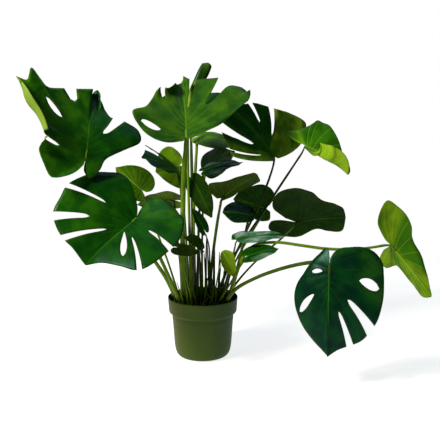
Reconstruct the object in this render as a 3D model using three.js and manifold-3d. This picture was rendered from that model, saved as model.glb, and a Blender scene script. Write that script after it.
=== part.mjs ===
// A potted monstera plant: a round nursery pot filled with soil, two short stems, and leaves on long
// stalks. Millimetres, +Z up. The origin is the middle of the pot's flat underside.

import * as THREE from "three";
import { mergeVertices } from "three/addons/utils/BufferGeometryUtils.js";
import Module from "manifold-3d";

const wasm = await Module();
wasm.setup();

// ---------------------------------------------------------------- driving dimensions

// The pot: a 24 cm nursery pot with a deep collar.
const POT_HEIGHT = 210;
const RIM_RADIUS = 121.5;
const COLLAR_RADIUS = 118.5;
const COLLAR_BOTTOM = 158;
const NECK_RADIUS = 107;
const FOOT_RADIUS = 100;
const BASE_RADIUS = 78;
const POT_WALL = 2;
const POT_SIDES = 32;
const DRAIN_COUNT = 8;
const DRAIN_RADIUS = 6;
const DRAIN_CIRCLE = 62;
const DRAIN_SIDES = 12;

// The soil.
const SOIL_TOP = 182;
const SOIL_BUMP = 3.5;
const SOIL_SIDES = 24;
const SOIL_RINGS = 4;
const HOLE_DEPTH = 34;
const CLEARANCE = 0.3;
const HOLE_MARGIN = 0.4; // between a foot and its hole
const HOLE_SIDES = 8;

// The leaves.
const BLADE_THICKNESS = 1;
const RIB_AT_JOINT = 2.4;
const RIB_AT_TIP = 0.4;
const BASAL_SHARE = 0.3; // the part of the margin whose veins all leave the stalk joint
const VEIN_END = 0.35; // where on the midrib the last side veins leave it
const VEIN_BOW = 0.1; // how far a side vein bows before it turns to the tip
const CURL_GROWTH = 1.3; // how late the curl sets in on the way out
const WAVE_SHIFT = 1.7; // how far the right half's waves lag the left half's, in radians
const ROW_SPACING = 0.9; // under 1 widens the rows of the blade's grid next to the midrib
const WALK_STEPS = 10;
const SLIT_ROUND = 0.22; // the rounded inner end of a slit, as a share of its length
const SLIT_TAPER = 0.65; // how wide a slit is behind its rounded end, as a share of its mouth
const HOLE_BLUNTNESS = 0.6;
const STALK_END_RADIUS = 0.6; // the stalk's radius at the joint, as a share of its own
const STALK_END_DROP = 2.2; // how far the stalk's last point lies under the blade
const STALK_END_SHARE = 0.1; // how far along the midrib the stalk runs on
const STALK_NARROWS = 0.8; // where the stalk starts to narrow towards the joint
const SHEATH_LENGTH = 0.45; // the sheath at the stalk's foot, as a share of its length
const SHEATH_TAPER = 1.2;
const STALK_STEP = 42;
const FEWEST_STEPS = 5;

// The outline of half a blade, from the notch at the stalk to the tip. Each point is a share of the
// half's width and a share of the blade's length.
const HEART = [
  [0.1, -0.17], [0.36, -0.25], [0.68, -0.2], [0.92, -0.03], [1, 0.18],
  [0.95, 0.4], [0.78, 0.62], [0.5, 0.81], [0.2, 0.945], [0, 1.04],
];
const LANCE = [
  [0.06, -0.05], [0.34, -0.12], [0.7, -0.05], [0.92, 0.1], [1, 0.28],
  [0.93, 0.48], [0.75, 0.68], [0.48, 0.84], [0.2, 0.95], [0, 1.04],
];
const OUTLINES = { heart: HEART, lance: LANCE };

const COLOURS = {
  pot: 0x4a5a1e,
  soil: 0x2e1a12,
  stem: 0x6b6a3a,
  deep: 0x0f3a12,
  mid: 0x1f5a18,
  olive: 0x4b5a14,
  bright: 0x6e9a10,
};

// Every leaf. joint and tip are the two ends of the midrib and face is roughly the way its upper side
// looks. L and R are the two halves, seen on the upper side with the tip away: width, fold up from the
// midrib in degrees and curl towards the margin in degrees. arch is how far the midrib bends, and wave is
// [degrees, waves along the margin]. A cut is [half, place on the outline, where it starts and ends
// between the midrib and the margin, width]: one that ends at 1 is a slit open at the margin, and one
// that ends before is a hole. stalk is [x, y, radius in the soil, radius], and way lists the points
// between the soil and the joint.
const LEAVES = [
  {
    name: "leaf_front_right", colour: "deep", fine: 2,
    joint: [390, -300, 390], tip: [390, -330, 120], face: [-0.3, -1, 0.3],
    L: { width: 170, fold: -8, curl: -18 }, R: { width: 130, fold: -8, curl: -18 }, arch: 25, wave: [4, 2],
    outlineL: [[0.01, -0.09], [0.1, -0.17], [0.3, -0.23], [0.66, -0.24], [0.92, -0.16],
      [0.98, 0.04], [0.98, 0.3], [0.91, 0.52], [0.8, 0.67], [0.61, 0.82], [0.41, 0.89],
      [0.19, 0.95], [0, 1.03]],
    outlineR: [[0, -0.08], [0.04, -0.18], [0.11, -0.21], [0.21, -0.18], [0.47, -0.06],
      [0.7, 0.11], [0.85, 0.28], [0.86, 0.46], [0.72, 0.67], [0.46, 0.83], [0.2, 0.94], [0, 1.03]],
    cuts: [["R", 0.44, 0.22, 0.6, 0.045], ["R", 0.685, 0.4, 0.92, 0.05], ["L", 0.485, 0.53, 0.92, 0.05],
      ["L", 0.683, 0.4, 1, 0.06], ["L", 0.835, 0.38, 1, 0.045]],
    stalk: [72, -54, 10, 6],
    way: [[108, -88, 255], [175, -140, 310], [275, -210, 365], [345, -255, 390], [380, -278, 396]],
  },
  {
    name: "leaf_upper_left", colour: "deep", fine: 2,
    joint: [-355, -190, 705], tip: [-375, 20, 912], face: [0.3, -0.8, 0.6],
    L: { width: 230, fold: 20, curl: 10 }, R: { width: 190, fold: 0, curl: -25 }, arch: 40, wave: [3, 3],
    outlineL: [[0.03, -0.08], [0.14, -0.18], [0.29, -0.26], [0.48, -0.3], [0.59, -0.18],
      [0.7, -0.03], [0.75, 0.12], [0.81, 0.22], [0.95, 0.36], [1.12, 0.49], [1.11, 0.62],
      [0.96, 0.63], [0.94, 0.77], [0.8, 0.69], [0.67, 0.64], [0.46, 0.71], [0.23, 0.79],
      [0, 0.87]],
    outlineR: [[-0.02, -0.07], [-0.01, -0.14], [0.1, -0.2], [0.25, -0.1], [0.34, 0.04], [0.63, 0.18],
      [0.92, 0.33], [0.89, 0.49], [0.69, 0.56], [0.5, 0.58], [0.36, 0.58], [0.25, 0.7],
      [0.17, 0.77], [0.16, 0.86], [0.1, 0.91], [0, 0.87]],
    cuts: [["L", 0.36, 0.51, 1, 0.035], ["L", 0.69, 0.36, 0.68, 0.05], ["L", 0.915, 0.72, 1, 0.045],
      ["R", 0.6, 0.45, 1, 0.085]],
    stalk: [-88, -12, 11, 6],
    way: [[-120, -20, 270], [-170, -35, 355], [-225, -60, 455], [-290, -100, 560], [-345, -150, 665]],
  },
  {
    name: "leaf_mid_left", colour: "deep", fine: 2,
    joint: [-200, -200, 520], tip: [-340, -330, 410], face: [0.3, -0.7, 0.6],
    L: { width: 220, fold: 30, curl: -15 }, R: { width: 190, fold: 10, curl: -15 }, arch: 10, wave: [4, 2],
    outlineL: [[-0.06, -0.085], [-0.15, -0.29], [-0.19, -0.55], [0, -0.67], [0.34, -0.56],
      [0.59, -0.34], [0.77, -0.02], [0.8, 0.3], [0.77, 0.55], [0.66, 0.71], [0.4, 0.78],
      [0.14, 0.88], [0, 1.03]],
    outlineR: [[0.09, -0.095], [0.2, -0.18], [0.45, -0.32], [0.76, -0.43], [0.98, -0.25],
      [1.1, 0.14], [1.14, 0.42], [1.05, 0.63], [0.94, 0.84], [0.73, 0.95], [0.49, 1],
      [0.28, 1], [0, 1.03]],
    cuts: [["R", 0.508, 0.43, 1, 0.03], ["R", 0.69, 0.53, 1, 0.05], ["R", 0.825, 0.28, 1, 0.04],
      ["L", 0.55, 0.38, 1, 0.025], ["L", 0.735, 0.3, 1, 0.03], ["L", 0.825, 0.12, 0.75, 0.05]],
    stalk: [-72, -52, 11, 6],
    way: [[-100, -75, 270], [-130, -100, 350], [-165, -130, 440], [-190, -165, 500]],
  },
  {
    name: "leaf_top_centre", colour: "mid", fine: 2,
    joint: [-45, -150, 770], tip: [-65, 60, 940], face: [0, -0.75, 0.65],
    L: { width: 190, fold: 15, curl: 0 }, R: { width: 225, fold: 15, curl: 0 }, arch: 20, wave: [4, 3],
    outlineL: [[0.06, -0.07], [0.34, -0.12], [0.56, -0.07], [0.75, 0.06], [0.9, 0.28],
      [0.68, 0.38], [0.55, 0.56], [0.46, 0.7], [0.31, 0.7], [0.15, 0.83], [0.04, 0.92], [0, 0.98]],
    outlineR: [[0.05, -0.05], [0.31, 0.02], [0.5, 0.08], [0.67, 0.16], [0.81, 0.24],
      [0.93, 0.33], [0.97, 0.5], [0.9, 0.64], [0.73, 0.72], [0.52, 0.83], [0.32, 0.9],
      [0.14, 0.92], [0, 1.03]],
    cuts: [["L", 0.33, 0.5, 0.85, 0.06], ["L", 0.663, 0.7, 1, 0.05], ["R", 0.7, 0.42, 1, 0.085],
      ["R", 0.91, 0.2, 1, 0.05]],
    stalk: [-58, -24, 19, 8.5],
    way: [[-64, -42, 300], [-65, -60, 420], [-62, -85, 540], [-56, -115, 660], [-48, -138, 735]],
  },
  {
    name: "leaf_top_right_inner", colour: "deep", fine: 2,
    joint: [245, 0, 695], tip: [90, -60, 865], face: [0.1, -0.8, 0.6],
    L: { width: 170, fold: 0, curl: -15 }, R: { width: 190, fold: 0, curl: -15 }, arch: 20, wave: [4, 3],
    outlineL: [[0.09, -0.02], [0.31, 0.13], [0.54, 0.32], [0.73, 0.54], [0.68, 0.65],
      [0.54, 0.85], [0.44, 0.94], [0.3, 0.99], [0.14, 1], [0, 1.03]],
    outlineR: [[0.05, -0.07], [0.42, -0.24], [0.8, -0.34], [1.07, -0.24], [1.16, -0.12],
      [1.02, 0.13], [0.69, 0.45], [0.43, 0.73], [0.29, 0.83], [0.12, 0.95], [0, 1.03]],
    cuts: [["L", 0.42, 0.3, 1, 0.03], ["L", 0.63, 0.35, 1, 0.13], ["R", 0.61, 0.33, 1, 0.03],
      ["R", 0.745, 0.52, 1, 0.045]],
    stalk: [66, 8, 7, 4],
    way: [[100, 14, 320], [150, 30, 430], [195, 40, 525], [230, 32, 620], [243, 16, 672]],
  },
  {
    name: "leaf_top_right_outer", colour: "bright", fine: 1,
    joint: [345, -20, 735], tip: [485, -60, 650], face: [0.3, -0.45, 0.85],
    L: { width: 140, fold: 35, curl: -15 }, R: { width: 90, fold: 10, curl: -15 }, arch: 8, wave: [3, 3],
    outlineL: [[-0.02, -0.16], [0.03, -0.42], [0.13, -0.5], [0.35, -0.28], [0.73, -0.14],
      [0.94, -0.06], [0.85, 0.21], [0.57, 0.52], [0.26, 0.76], [0.15, 0.95], [0, 1.03]],
    outlineR: [[0.21, 0], [0.36, 0.18], [0.44, 0.39], [0.55, 0.59], [0.63, 0.73], [0.67, 0.87],
      [0.41, 0.99], [0, 1.03]],
    cuts: [],
    stalk: [50, 30, 7, 4],
    way: [[92, 42, 310], [145, 48, 400], [195, 46, 475], [250, 34, 565], [308, 8, 662], [337, -8, 712]],
  },
  {
    name: "leaf_far_right", colour: "bright", fine: 1,
    joint: [620, -120, 415], tip: [750, -150, 250], face: [0.3, 0.9, 0.3],
    L: { width: 150, fold: 20, curl: -5 }, R: { width: 150, fold: 20, curl: -5 }, arch: 15, wave: [3, 3],
    outlineL: [[0.24, 0.01], [0.53, 0.14], [0.52, 0.3], [0.31, 0.33], [0.24, 0.36],
      [0.21, 0.5], [0.22, 0.68], [0.23, 0.86], [0.17, 0.98], [0, 1.03]],
    outlineR: [[-0.02, -0.12], [0.02, -0.27], [0.1, -0.43], [0.31, -0.55], [0.56, -0.6],
      [0.64, -0.45], [0.67, -0.25], [0.6, -0.05], [0.46, 0.1], [0.41, 0.29], [0.35, 0.48],
      [0.23, 0.68], [0.1, 0.87], [0, 1.03]],
    cuts: [],
    stalk: [84, -36, 9, 5],
    way: [[108, -52, 280], [140, -72, 370], [175, -85, 408], [245, -95, 420], [330, -108, 412],
      [405, -120, 404], [490, -132, 404], [560, -134, 412], [600, -128, 417]],
  },
  {
    name: "leaf_right_dark", colour: "deep", fine: 1,
    joint: [330, 60, 460], tip: [490, 20, 485], face: [0, 0.75, 0.6],
    L: { width: 110, fold: 0, curl: -15 }, R: { width: 110, fold: 0, curl: -15 }, arch: 15, wave: [3, 3],
    outlineL: [[-0.35, -0.3], [-0.4, -0.5], [-0.1, -0.6], [0.35, -0.41], [0.57, -0.22],
      [0.61, 0.01], [0.42, 0.36], [0.59, 0.6], [0.59, 0.9], [0, 1.03]],
    outlineR: [[0.36, -0.2], [0.96, -0.36], [1.38, -0.34], [1.69, -0.14], [1.8, 0.24],
      [1.47, 0.48], [0.94, 0.63], [0.74, 0.88], [0.5, 1.02], [0, 1.03]],
    cuts: [],
    stalk: [82, 34, 6, 3.5],
    way: [[130, 44, 260], [205, 50, 340], [280, 42, 410], [316, 40, 446]],
  },
  {
    name: "leaf_right_back", colour: "mid", fine: 0,
    joint: [225, 130, 500], tip: [110, 120, 535], face: [0, 0.8, 0.6],
    L: { width: 120, fold: 0, curl: -15 }, R: { width: 80, fold: 0, curl: -15 }, arch: 15, wave: [3, 3],
    outlineL: [[0.2, -0.07], [0.63, -0.09], [0.89, 0.13], [0.88, 0.52], [0.6, 0.8], [0.32, 0.97],
      [0, 1.03]],
    outlineR: [[0.08, -0.17], [0.46, -0.26], [0.69, -0.16], [0.78, 0.06], [0.72, 0.46], [0.36, 0.8],
      [0, 1.03]],
    cuts: [],
    stalk: [72, 56, 6, 3.5],
    way: [[110, 84, 300], [172, 110, 410], [212, 122, 475]],
  },
  {
    name: "leaf_right_mid", colour: "deep", fine: 0,
    joint: [158, -20, 500], tip: [72, -40, 516], face: [0, -0.6, 0.8],
    L: { width: 60, fold: 0, curl: -20 }, R: { width: 80, fold: 0, curl: -20 }, arch: 15, wave: [3, 3],
    outlineL: [[0.02, -0.14], [0.14, -0.25], [0.44, -0.08], [0.65, 0.26], [0.69, 0.62],
      [0.43, 0.88], [0.1, 1.02], [0, 1.03]],
    outlineR: [[0.12, -0.16], [0.38, -0.34], [0.62, -0.25], [0.72, 0.06], [0.79, 0.33],
      [0.6, 0.69], [0.34, 0.92], [0, 1.03]],
    cuts: [],
    stalk: [90, -6, 7, 5],
    way: [[118, 4, 300], [142, 14, 400], [156, 2, 475]],
  },
  {
    name: "leaf_right_low", colour: "deep", fine: 0,
    joint: [116, -72, 424], tip: [283, -60, 440], face: [0, -0.25, 1],
    L: { width: 60, fold: 10, curl: -15 }, R: { width: 75, fold: 10, curl: -15 }, arch: 15, wave: [3, 3],
    outlineL: [[0.17, -0.1], [0.68, -0.06], [0.86, 0.07], [0.76, 0.25], [0.52, 0.54],
      [0.33, 0.83], [0, 1.03]],
    outlineR: [[0.18, 0], [0.43, 0.06], [0.66, 0.23], [0.66, 0.47], [0.52, 0.69], [0.27, 0.89],
      [0, 1.03]],
    cuts: [],
    stalk: [60, -34, 5, 3],
    way: [[84, -48, 280], [108, -66, 388]],
  },
  {
    name: "leaf_right_low_dark", colour: "deep", fine: 0,
    joint: [152, -135, 384], tip: [248, -130, 408], face: [0, -0.4, 1],
    L: { width: 42, fold: 10, curl: -15 }, R: { width: 45, fold: 10, curl: -15 }, arch: 10, wave: [3, 3],
    cuts: [],
    stalk: [46, -66, 5, 3],
    way: [[84, -96, 262], [128, -124, 348]],
  },
  {
    name: "leaf_small_bright", colour: "bright", fine: 0,
    joint: [68, -74, 386], tip: [113, -92, 295], face: [0.2, -1, 0.2],
    L: { width: 42, fold: 12, curl: 0 }, R: { width: 60, fold: 12, curl: 0 }, arch: 20, wave: [3, 2],
    outlineL: [[0.21, 0], [0.47, 0.08], [0.66, 0.19], [0.66, 0.35], [0.5, 0.54], [0.31, 0.75],
      [0.16, 0.89], [0, 1.03]],
    outlineR: [[0.12, 0.03], [0.27, 0.14], [0.38, 0.3], [0.42, 0.48], [0.32, 0.66], [0.19, 0.83],
      [0, 1.03]],
    cuts: [],
    stalk: [38, -40, 4, 2.5],
    way: [[50, -50, 280], [62, -66, 352]],
  },
  {
    name: "leaf_small_olive", colour: "olive", fine: 0,
    joint: [-80, -90, 402], tip: [-8, -98, 382], face: [0, -0.6, 0.8],
    L: { width: 18, fold: 10, curl: 0 }, R: { width: 40, fold: 10, curl: 0 }, arch: 20, wave: [3, 2],
    cuts: [],
    stalk: [-34, -70, 4, 2.5],
    way: [[-48, -76, 270], [-74, -87, 370]],
  },
  {
    name: "leaf_small_dark", colour: "deep", fine: 0,
    joint: [-5, -55, 392], tip: [-60, -82, 428], face: [0, -0.5, 0.8],
    L: { width: 17, fold: 10, curl: 0 }, R: { width: 40, fold: 10, curl: 0 }, arch: 20, wave: [3, 2],
    cuts: [],
    stalk: [0, -40, 4, 2.5],
    way: [[1, -44, 280], [-2, -50, 362]],
  },
  {
    name: "leaf_small_point", colour: "deep", fine: 0,
    joint: [5, -40, 455], tip: [-35, -50, 525], face: [0.5, -0.8, 0.2],
    L: { width: 22, fold: 10, curl: 0 }, R: { width: 22, fold: 10, curl: 0 }, arch: 20, wave: [3, 2],
    cuts: [],
    stalk: [22, -34, 4, 2.5],
    way: [[25, -30, 300], [21, -26, 400]],
  },
  {
    name: "leaf_centre_right", colour: "deep", fine: 0,
    joint: [5, 40, 645], tip: [135, 60, 670], face: [0, -0.2, 1],
    L: { width: 60, fold: 5, curl: -15 }, R: { width: 60, fold: 5, curl: -15 }, arch: 20, wave: [3, 3],
    outline: "lance", cuts: [],
    stalk: [-18, 12, 7, 4.5],
    way: [[-17, 24, 330], [-12, 38, 500], [-2, 43, 600]],
  },
  {
    name: "leaf_centre_right_back", colour: "deep", fine: 0,
    joint: [10, 150, 640], tip: [110, 165, 700], face: [0, 0.7, 0.7],
    L: { width: 70, fold: 5, curl: -15 }, R: { width: 70, fold: 5, curl: -15 }, arch: 20, wave: [3, 3],
    outline: "lance", cuts: [],
    stalk: [-4, 52, 6, 3.5],
    way: [[-4, 74, 330], [-2, 108, 480], [4, 138, 600]],
  },
  {
    name: "leaf_centre_right_bright", colour: "bright", fine: 0,
    joint: [-15, 80, 760], tip: [155, 60, 725], face: [0, -0.45, 0.9],
    L: { width: 42, fold: 5, curl: -15 }, R: { width: 62, fold: 5, curl: -15 }, arch: 20, wave: [3, 3],
    outline: "lance", cuts: [],
    stalk: [-36, 4, 9, 5.5],
    way: [[-34, 18, 360], [-30, 44, 540], [-22, 70, 700]],
  },
  {
    name: "leaf_centre_left", colour: "deep", fine: 0,
    joint: [-88, 40, 645], tip: [-203, 10, 692], face: [0, -0.35, 1],
    L: { width: 80, fold: 5, curl: -15 }, R: { width: 75, fold: 5, curl: -15 }, arch: 20, wave: [3, 3],
    outlineL: [[0.2, 0.02], [0.5, 0.14], [0.7, 0.36], [0.68, 0.62], [0.4, 0.85], [0.12, 0.97],
      [0, 1.03]],
    outlineR: [[0.25, 0], [0.6, 0.08], [0.86, 0.3], [0.98, 0.56], [1.2, 0.76], [1.3, 0.94],
      [0.8, 0.94], [0.35, 0.98], [0, 1.03]],
    cuts: [["R", 0.7, 0.35, 1, 0.08]],
    stalk: [-58, 14, 8, 4.5],
    way: [[-62, 22, 330], [-70, 32, 480], [-78, 38, 600]],
  },
  {
    name: "leaf_centre_left_bright", colour: "olive", fine: 0,
    joint: [-85, 130, 655], tip: [-170, 150, 630], face: [0, 0.95, 0.3],
    L: { width: 80, fold: 5, curl: -15 }, R: { width: 90, fold: 5, curl: -15 }, arch: 20, wave: [3, 3],
    cuts: [],
    stalk: [-52, 44, 7, 3.5],
    way: [[-56, 60, 330], [-66, 88, 480], [-80, 114, 610]],
  },
  {
    name: "leaf_left_back_bright", colour: "bright", fine: 0,
    joint: [-215, 60, 575], tip: [-300, 60, 650], face: [0, -0.9, 0.4],
    L: { width: 50, fold: 15, curl: 0 }, R: { width: 66, fold: 15, curl: 0 }, arch: 20, wave: [3, 3],
    cuts: [],
    stalk: [-84, 22, 6, 3.5],
    way: [[-112, 32, 290], [-155, 48, 410], [-198, 62, 530]],
  },
  {
    name: "leaf_left_back_olive", colour: "olive", fine: 0,
    joint: [-105, 120, 530], tip: [-235, 110, 515], face: [0, 0.5, 0.8],
    L: { width: 80, fold: 5, curl: -15 }, R: { width: 80, fold: 5, curl: -15 }, arch: 20, wave: [3, 3],
    cuts: [],
    stalk: [-76, 52, 6, 3.5],
    way: [[-82, 66, 300], [-94, 88, 420], [-102, 108, 495]],
  },
  {
    name: "leaf_under_band", colour: "olive", fine: 0,
    joint: [65, -40, 560], tip: [180, -60, 640], face: [-0.15, 0.6, 0.75],
    L: { width: 90, fold: 5, curl: -15 }, R: { width: 90, fold: 5, curl: -15 }, arch: 15, wave: [3, 3],
    outlineL: [[0.14, -0.06], [0.3, 0.14], [0.33, 0.35], [0.4, 0.51], [0.49, 0.71], [0.47, 0.95],
      [0, 1.03]],
    outlineR: [[0.17, -0.08], [0.77, -0.06], [1.12, 0.04], [1.04, 0.2], [0.67, 0.42], [0.44, 0.71],
      [0.28, 0.98], [0, 1.03]],
    cuts: [],
    stalk: [20, -10, 8, 5],
    way: [[32, -18, 330], [50, -32, 470], [60, -42, 530]],
  },
  {
    name: "leaf_centre_drop", colour: "deep", fine: 0,
    joint: [-34, 18, 618], tip: [30, 10, 490], face: [0.3, -1, 0],
    L: { width: 38, fold: 15, curl: -15 }, R: { width: 38, fold: 15, curl: -15 }, arch: 10, wave: [3, 2],
    outline: "lance", cuts: [],
    stalk: [-34, -12, 5, 3],
    way: [[-36, -6, 330], [-37, 10, 480], [-38, 24, 590]],
  },
  {
    name: "leaf_top_back", colour: "mid", fine: 0,
    joint: [-45, 165, 810], tip: [-50, 235, 915], face: [0, -0.6, 0.8],
    L: { width: 110, fold: 5, curl: -15 }, R: { width: 110, fold: 5, curl: -15 }, arch: 15, wave: [3, 3],
    outlineL: [[0.16, -0.14], [0.42, -0.13], [0.68, 0.04], [0.9, 0.29], [1, 0.6], [0.9, 0.85],
      [0.59, 0.92], [0.26, 1], [0, 1.03]],
    outlineR: [[0.2, -0.09], [0.47, 0.07], [0.71, 0.29], [0.91, 0.57], [1.04, 0.8], [1.02, 0.9],
      [0.7, 0.95], [0.33, 1.01], [0, 1.03]],
    cuts: [],
    stalk: [-30, 36, 8, 5.5],
    way: [[-32, 56, 360], [-38, 98, 540], [-43, 144, 720]],
  },
];

// The newest leaf, still rolled up: its stalk, and the axis of the roll from its foot to its open top.
const NEW_LEAF = {
  name: "leaf_new_roll",
  stalk: [-34, -44, 9, 4.5],
  way: [[-40, -36, 330], [-45, -16, 500], [-49, 10, 680], [-50, 36, 800]],
  roll: [[-49, 50, 858], [-41, 64, 902], [-21, 78, 942], [19, 90, 1008]],
  seat: 0.25, // how far up the roll its stalk reaches
  innerRadius: 5,
  layerGap: 6,
  turns: 1.8,
  lengthSteps: 8,
  turnSteps: 18,
  sides: 6,
  slim: 0.5, // how wide the roll is at its foot, as a share of its radius
  swell: 0.95, // how much wider it gets where it is widest
  swellSpan: 0.62, // how much of the half wave from slim to wide and back lies on the roll
};

// The short stems that the stalks grow round, and the roots that run from them into the soil.
const STEMS = [
  {
    name: "stem_centre", radius: 10, foot: [-6, -14], top: [-4, -17, 252],
    roots: [{ from: 225, foot: [-6, -62] }, { from: 236, foot: [-16, -36] }],
  },
  {
    name: "stem_right", radius: 8, foot: [60, -12], top: [64, -12, 240],
    roots: [{ from: 215, foot: [38, -14] }],
  },
];
const ROOT_RADIUS = 2.2;
const ROOT_ELBOW = 16; // how high over the soil a root turns down
const ROOT_SIDES = 5;
const ROOT_STEP = 12;
const STEM_NODES = 3;
const STEM_WAIST = 0.1; // how far the stem narrows between its rings
const STEM_ROUNDS_AT = 0.9; // where the stem's rounded top starts
const STEM_ROUNDS_TO = 1.02; // where it would close: just past the end, which leaves a small flat
const STEM_SIDES = 10;
const STEM_STEP = 8;

// ---------------------------------------------------------------- solids

// A closed geometry as a solid with its shared vertices merged and its collapsed triangles dropped.
function solidOf(geometry) {
  const bare = new THREE.BufferGeometry();
  bare.setAttribute("position", geometry.getAttribute("position"));
  if (geometry.index) bare.setIndex(geometry.index);
  const merged = mergeVertices(bare, 1e-4);
  const kept = [];
  const index = merged.index.array;
  for (let i = 0; i < index.length; i += 3) {
    const [a, b, c] = [index[i], index[i + 1], index[i + 2]];
    if (a !== b && b !== c && a !== c) kept.push(a, b, c);
  }
  return new wasm.Manifold(
    new wasm.Mesh({
      numProp: 3,
      vertProperties: new Float32Array(merged.attributes.position.array),
      triVerts: new Uint32Array(kept),
    }),
  );
}

// A solid as a geometry again, with flat faces.
function geometryOf(solid) {
  const mesh = solid.getMesh();
  const points = new Float32Array(mesh.numVert * 3);
  for (let i = 0; i < mesh.numVert; i++)
    points.set(mesh.vertProperties.subarray(i * mesh.numProp, i * mesh.numProp + 3), i * 3);
  const geometry = new THREE.BufferGeometry();
  geometry.setAttribute("position", new THREE.BufferAttribute(points, 3));
  geometry.setIndex(new THREE.BufferAttribute(new Uint32Array(mesh.triVerts), 1));
  const faceted = geometry.toNonIndexed();
  faceted.computeVertexNormals();
  return faceted;
}

function indexed(points, triangles) {
  const geometry = new THREE.BufferGeometry();
  const numbers = points.flatMap((p) => [p.x, p.y, p.z]);
  geometry.setAttribute("position", new THREE.Float32BufferAttribute(numbers, 3));
  geometry.setIndex(triangles.flat());
  return geometry;
}

function meshOf(name, solid, colour, roughness) {
  const material = new THREE.MeshStandardMaterial({ color: COLOURS[colour], roughness, metalness: 0 });
  const mesh = new THREE.Mesh(geometryOf(solid), material);
  mesh.name = name;
  return mesh;
}

// A solid turned about the Z axis from [radius, height] points that start and end on the axis.
function turned(profile, sides) {
  const points = profile.map(([radius, height]) => new THREE.Vector2(radius, height));
  return new THREE.LatheGeometry(points, sides).rotateX(Math.PI / 2);
}

// An upright cylinder from z0 to z1 at (x, y), whose flats lie at the given radius.
function post(x, y, radius, z0, z1, sides) {
  const corner = radius / Math.cos(Math.PI / sides);
  const geometry = new THREE.CylinderGeometry(corner, corner, z1 - z0, sides).rotateX(Math.PI / 2);
  return solidOf(geometry.translate(x, y, (z0 + z1) / 2));
}

// A rod of varying radius through the points, closed at both ends.
function rod(points, radiusAt, sides, step) {
  const curve = new THREE.CatmullRomCurve3(points, false, "centripetal");
  const count = Math.max(FEWEST_STEPS, Math.round(curve.getLength() / step));
  const { normals, binormals } = curve.computeFrenetFrames(count, false);
  const ring = [];
  const triangles = [];
  for (let i = 0; i <= count; i++) {
    const centre = curve.getPointAt(i / count);
    for (let k = 0; k < sides; k++) {
      const angle = (2 * Math.PI * k) / sides;
      const radius = radiusAt(i / count);
      ring.push(
        centre
          .clone()
          .addScaledVector(normals[i], radius * Math.cos(angle))
          .addScaledVector(binormals[i], radius * Math.sin(angle)),
      );
      if (i === 0) continue;
      const next = (k + 1) % sides;
      const [a, b] = [(i - 1) * sides + k, (i - 1) * sides + next];
      const [c, d] = [i * sides + next, i * sides + k];
      triangles.push([a, b, c], [a, c, d]);
    }
  }
  const first = ring.push(curve.getPointAt(0)) - 1;
  const last = ring.push(curve.getPointAt(1)) - 1;
  for (let k = 0; k < sides; k++) {
    const next = (k + 1) % sides;
    triangles.push([first, next, k], [last, count * sides + k, count * sides + next]);
  }
  return solidOf(indexed(ring, triangles));
}

// ---------------------------------------------------------------- pot and soil

const BASE_EDGE = [
  [BASE_RADIUS, 0],
  [BASE_RADIUS + 9, 3],
  [BASE_RADIUS + 15, 10],
  [BASE_RADIUS + 19, 22],
];

function makePot() {
  const inside = (radius) => radius - POT_WALL;
  const profile = [
    [0, 0],
    ...BASE_EDGE,
    [FOOT_RADIUS, 42],
    [NECK_RADIUS, COLLAR_BOTTOM - 9],
    [NECK_RADIUS + 1, COLLAR_BOTTOM - 5],
    [COLLAR_RADIUS - 1, COLLAR_BOTTOM],
    [COLLAR_RADIUS, COLLAR_BOTTOM + 3],
    [RIM_RADIUS, POT_HEIGHT - 6],
    [RIM_RADIUS, POT_HEIGHT - 1],
    [RIM_RADIUS - 1, POT_HEIGHT],
    [inside(RIM_RADIUS), POT_HEIGHT],
    ...innerWall().reverse(),
    [0, POT_WALL],
  ];
  let pot = solidOf(turned(profile, POT_SIDES));
  for (let i = 0; i < DRAIN_COUNT; i++) {
    const angle = (2 * Math.PI * i) / DRAIN_COUNT;
    const [x, y] = [DRAIN_CIRCLE * Math.cos(angle), DRAIN_CIRCLE * Math.sin(angle)];
    pot = pot.subtract(post(x, y, DRAIN_RADIUS, -1, POT_WALL + 1, DRAIN_SIDES));
  }
  return meshOf("pot", pot, "pot", 0.55);
}

// The pot's inner face from the base up to under the rim, as [radius, height].
function innerWall() {
  return [
    [BASE_RADIUS - 1, POT_WALL],
    [BASE_RADIUS + 8, POT_WALL + 3],
    [BASE_RADIUS + 13, POT_WALL + 9],
    [BASE_RADIUS + 17, POT_WALL + 21],
    [FOOT_RADIUS - POT_WALL, POT_WALL + 41],
    [NECK_RADIUS - POT_WALL, COLLAR_BOTTOM - 7],
    [NECK_RADIUS - POT_WALL + 1, COLLAR_BOTTOM - 2],
    [COLLAR_RADIUS - POT_WALL - 1, COLLAR_BOTTOM + 4],
  ];
}

// The lumps of the soil's surface.
function bump(x, y) {
  const slow = Math.sin(0.071 * x + 1.3) * Math.cos(0.083 * y - 0.4);
  const quick = Math.sin(0.19 * x - 0.7 * Math.sin(0.11 * y)) * Math.sin(0.17 * y + 2.1);
  return SOIL_BUMP * (0.6 * slow + 0.4 * quick);
}

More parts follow.
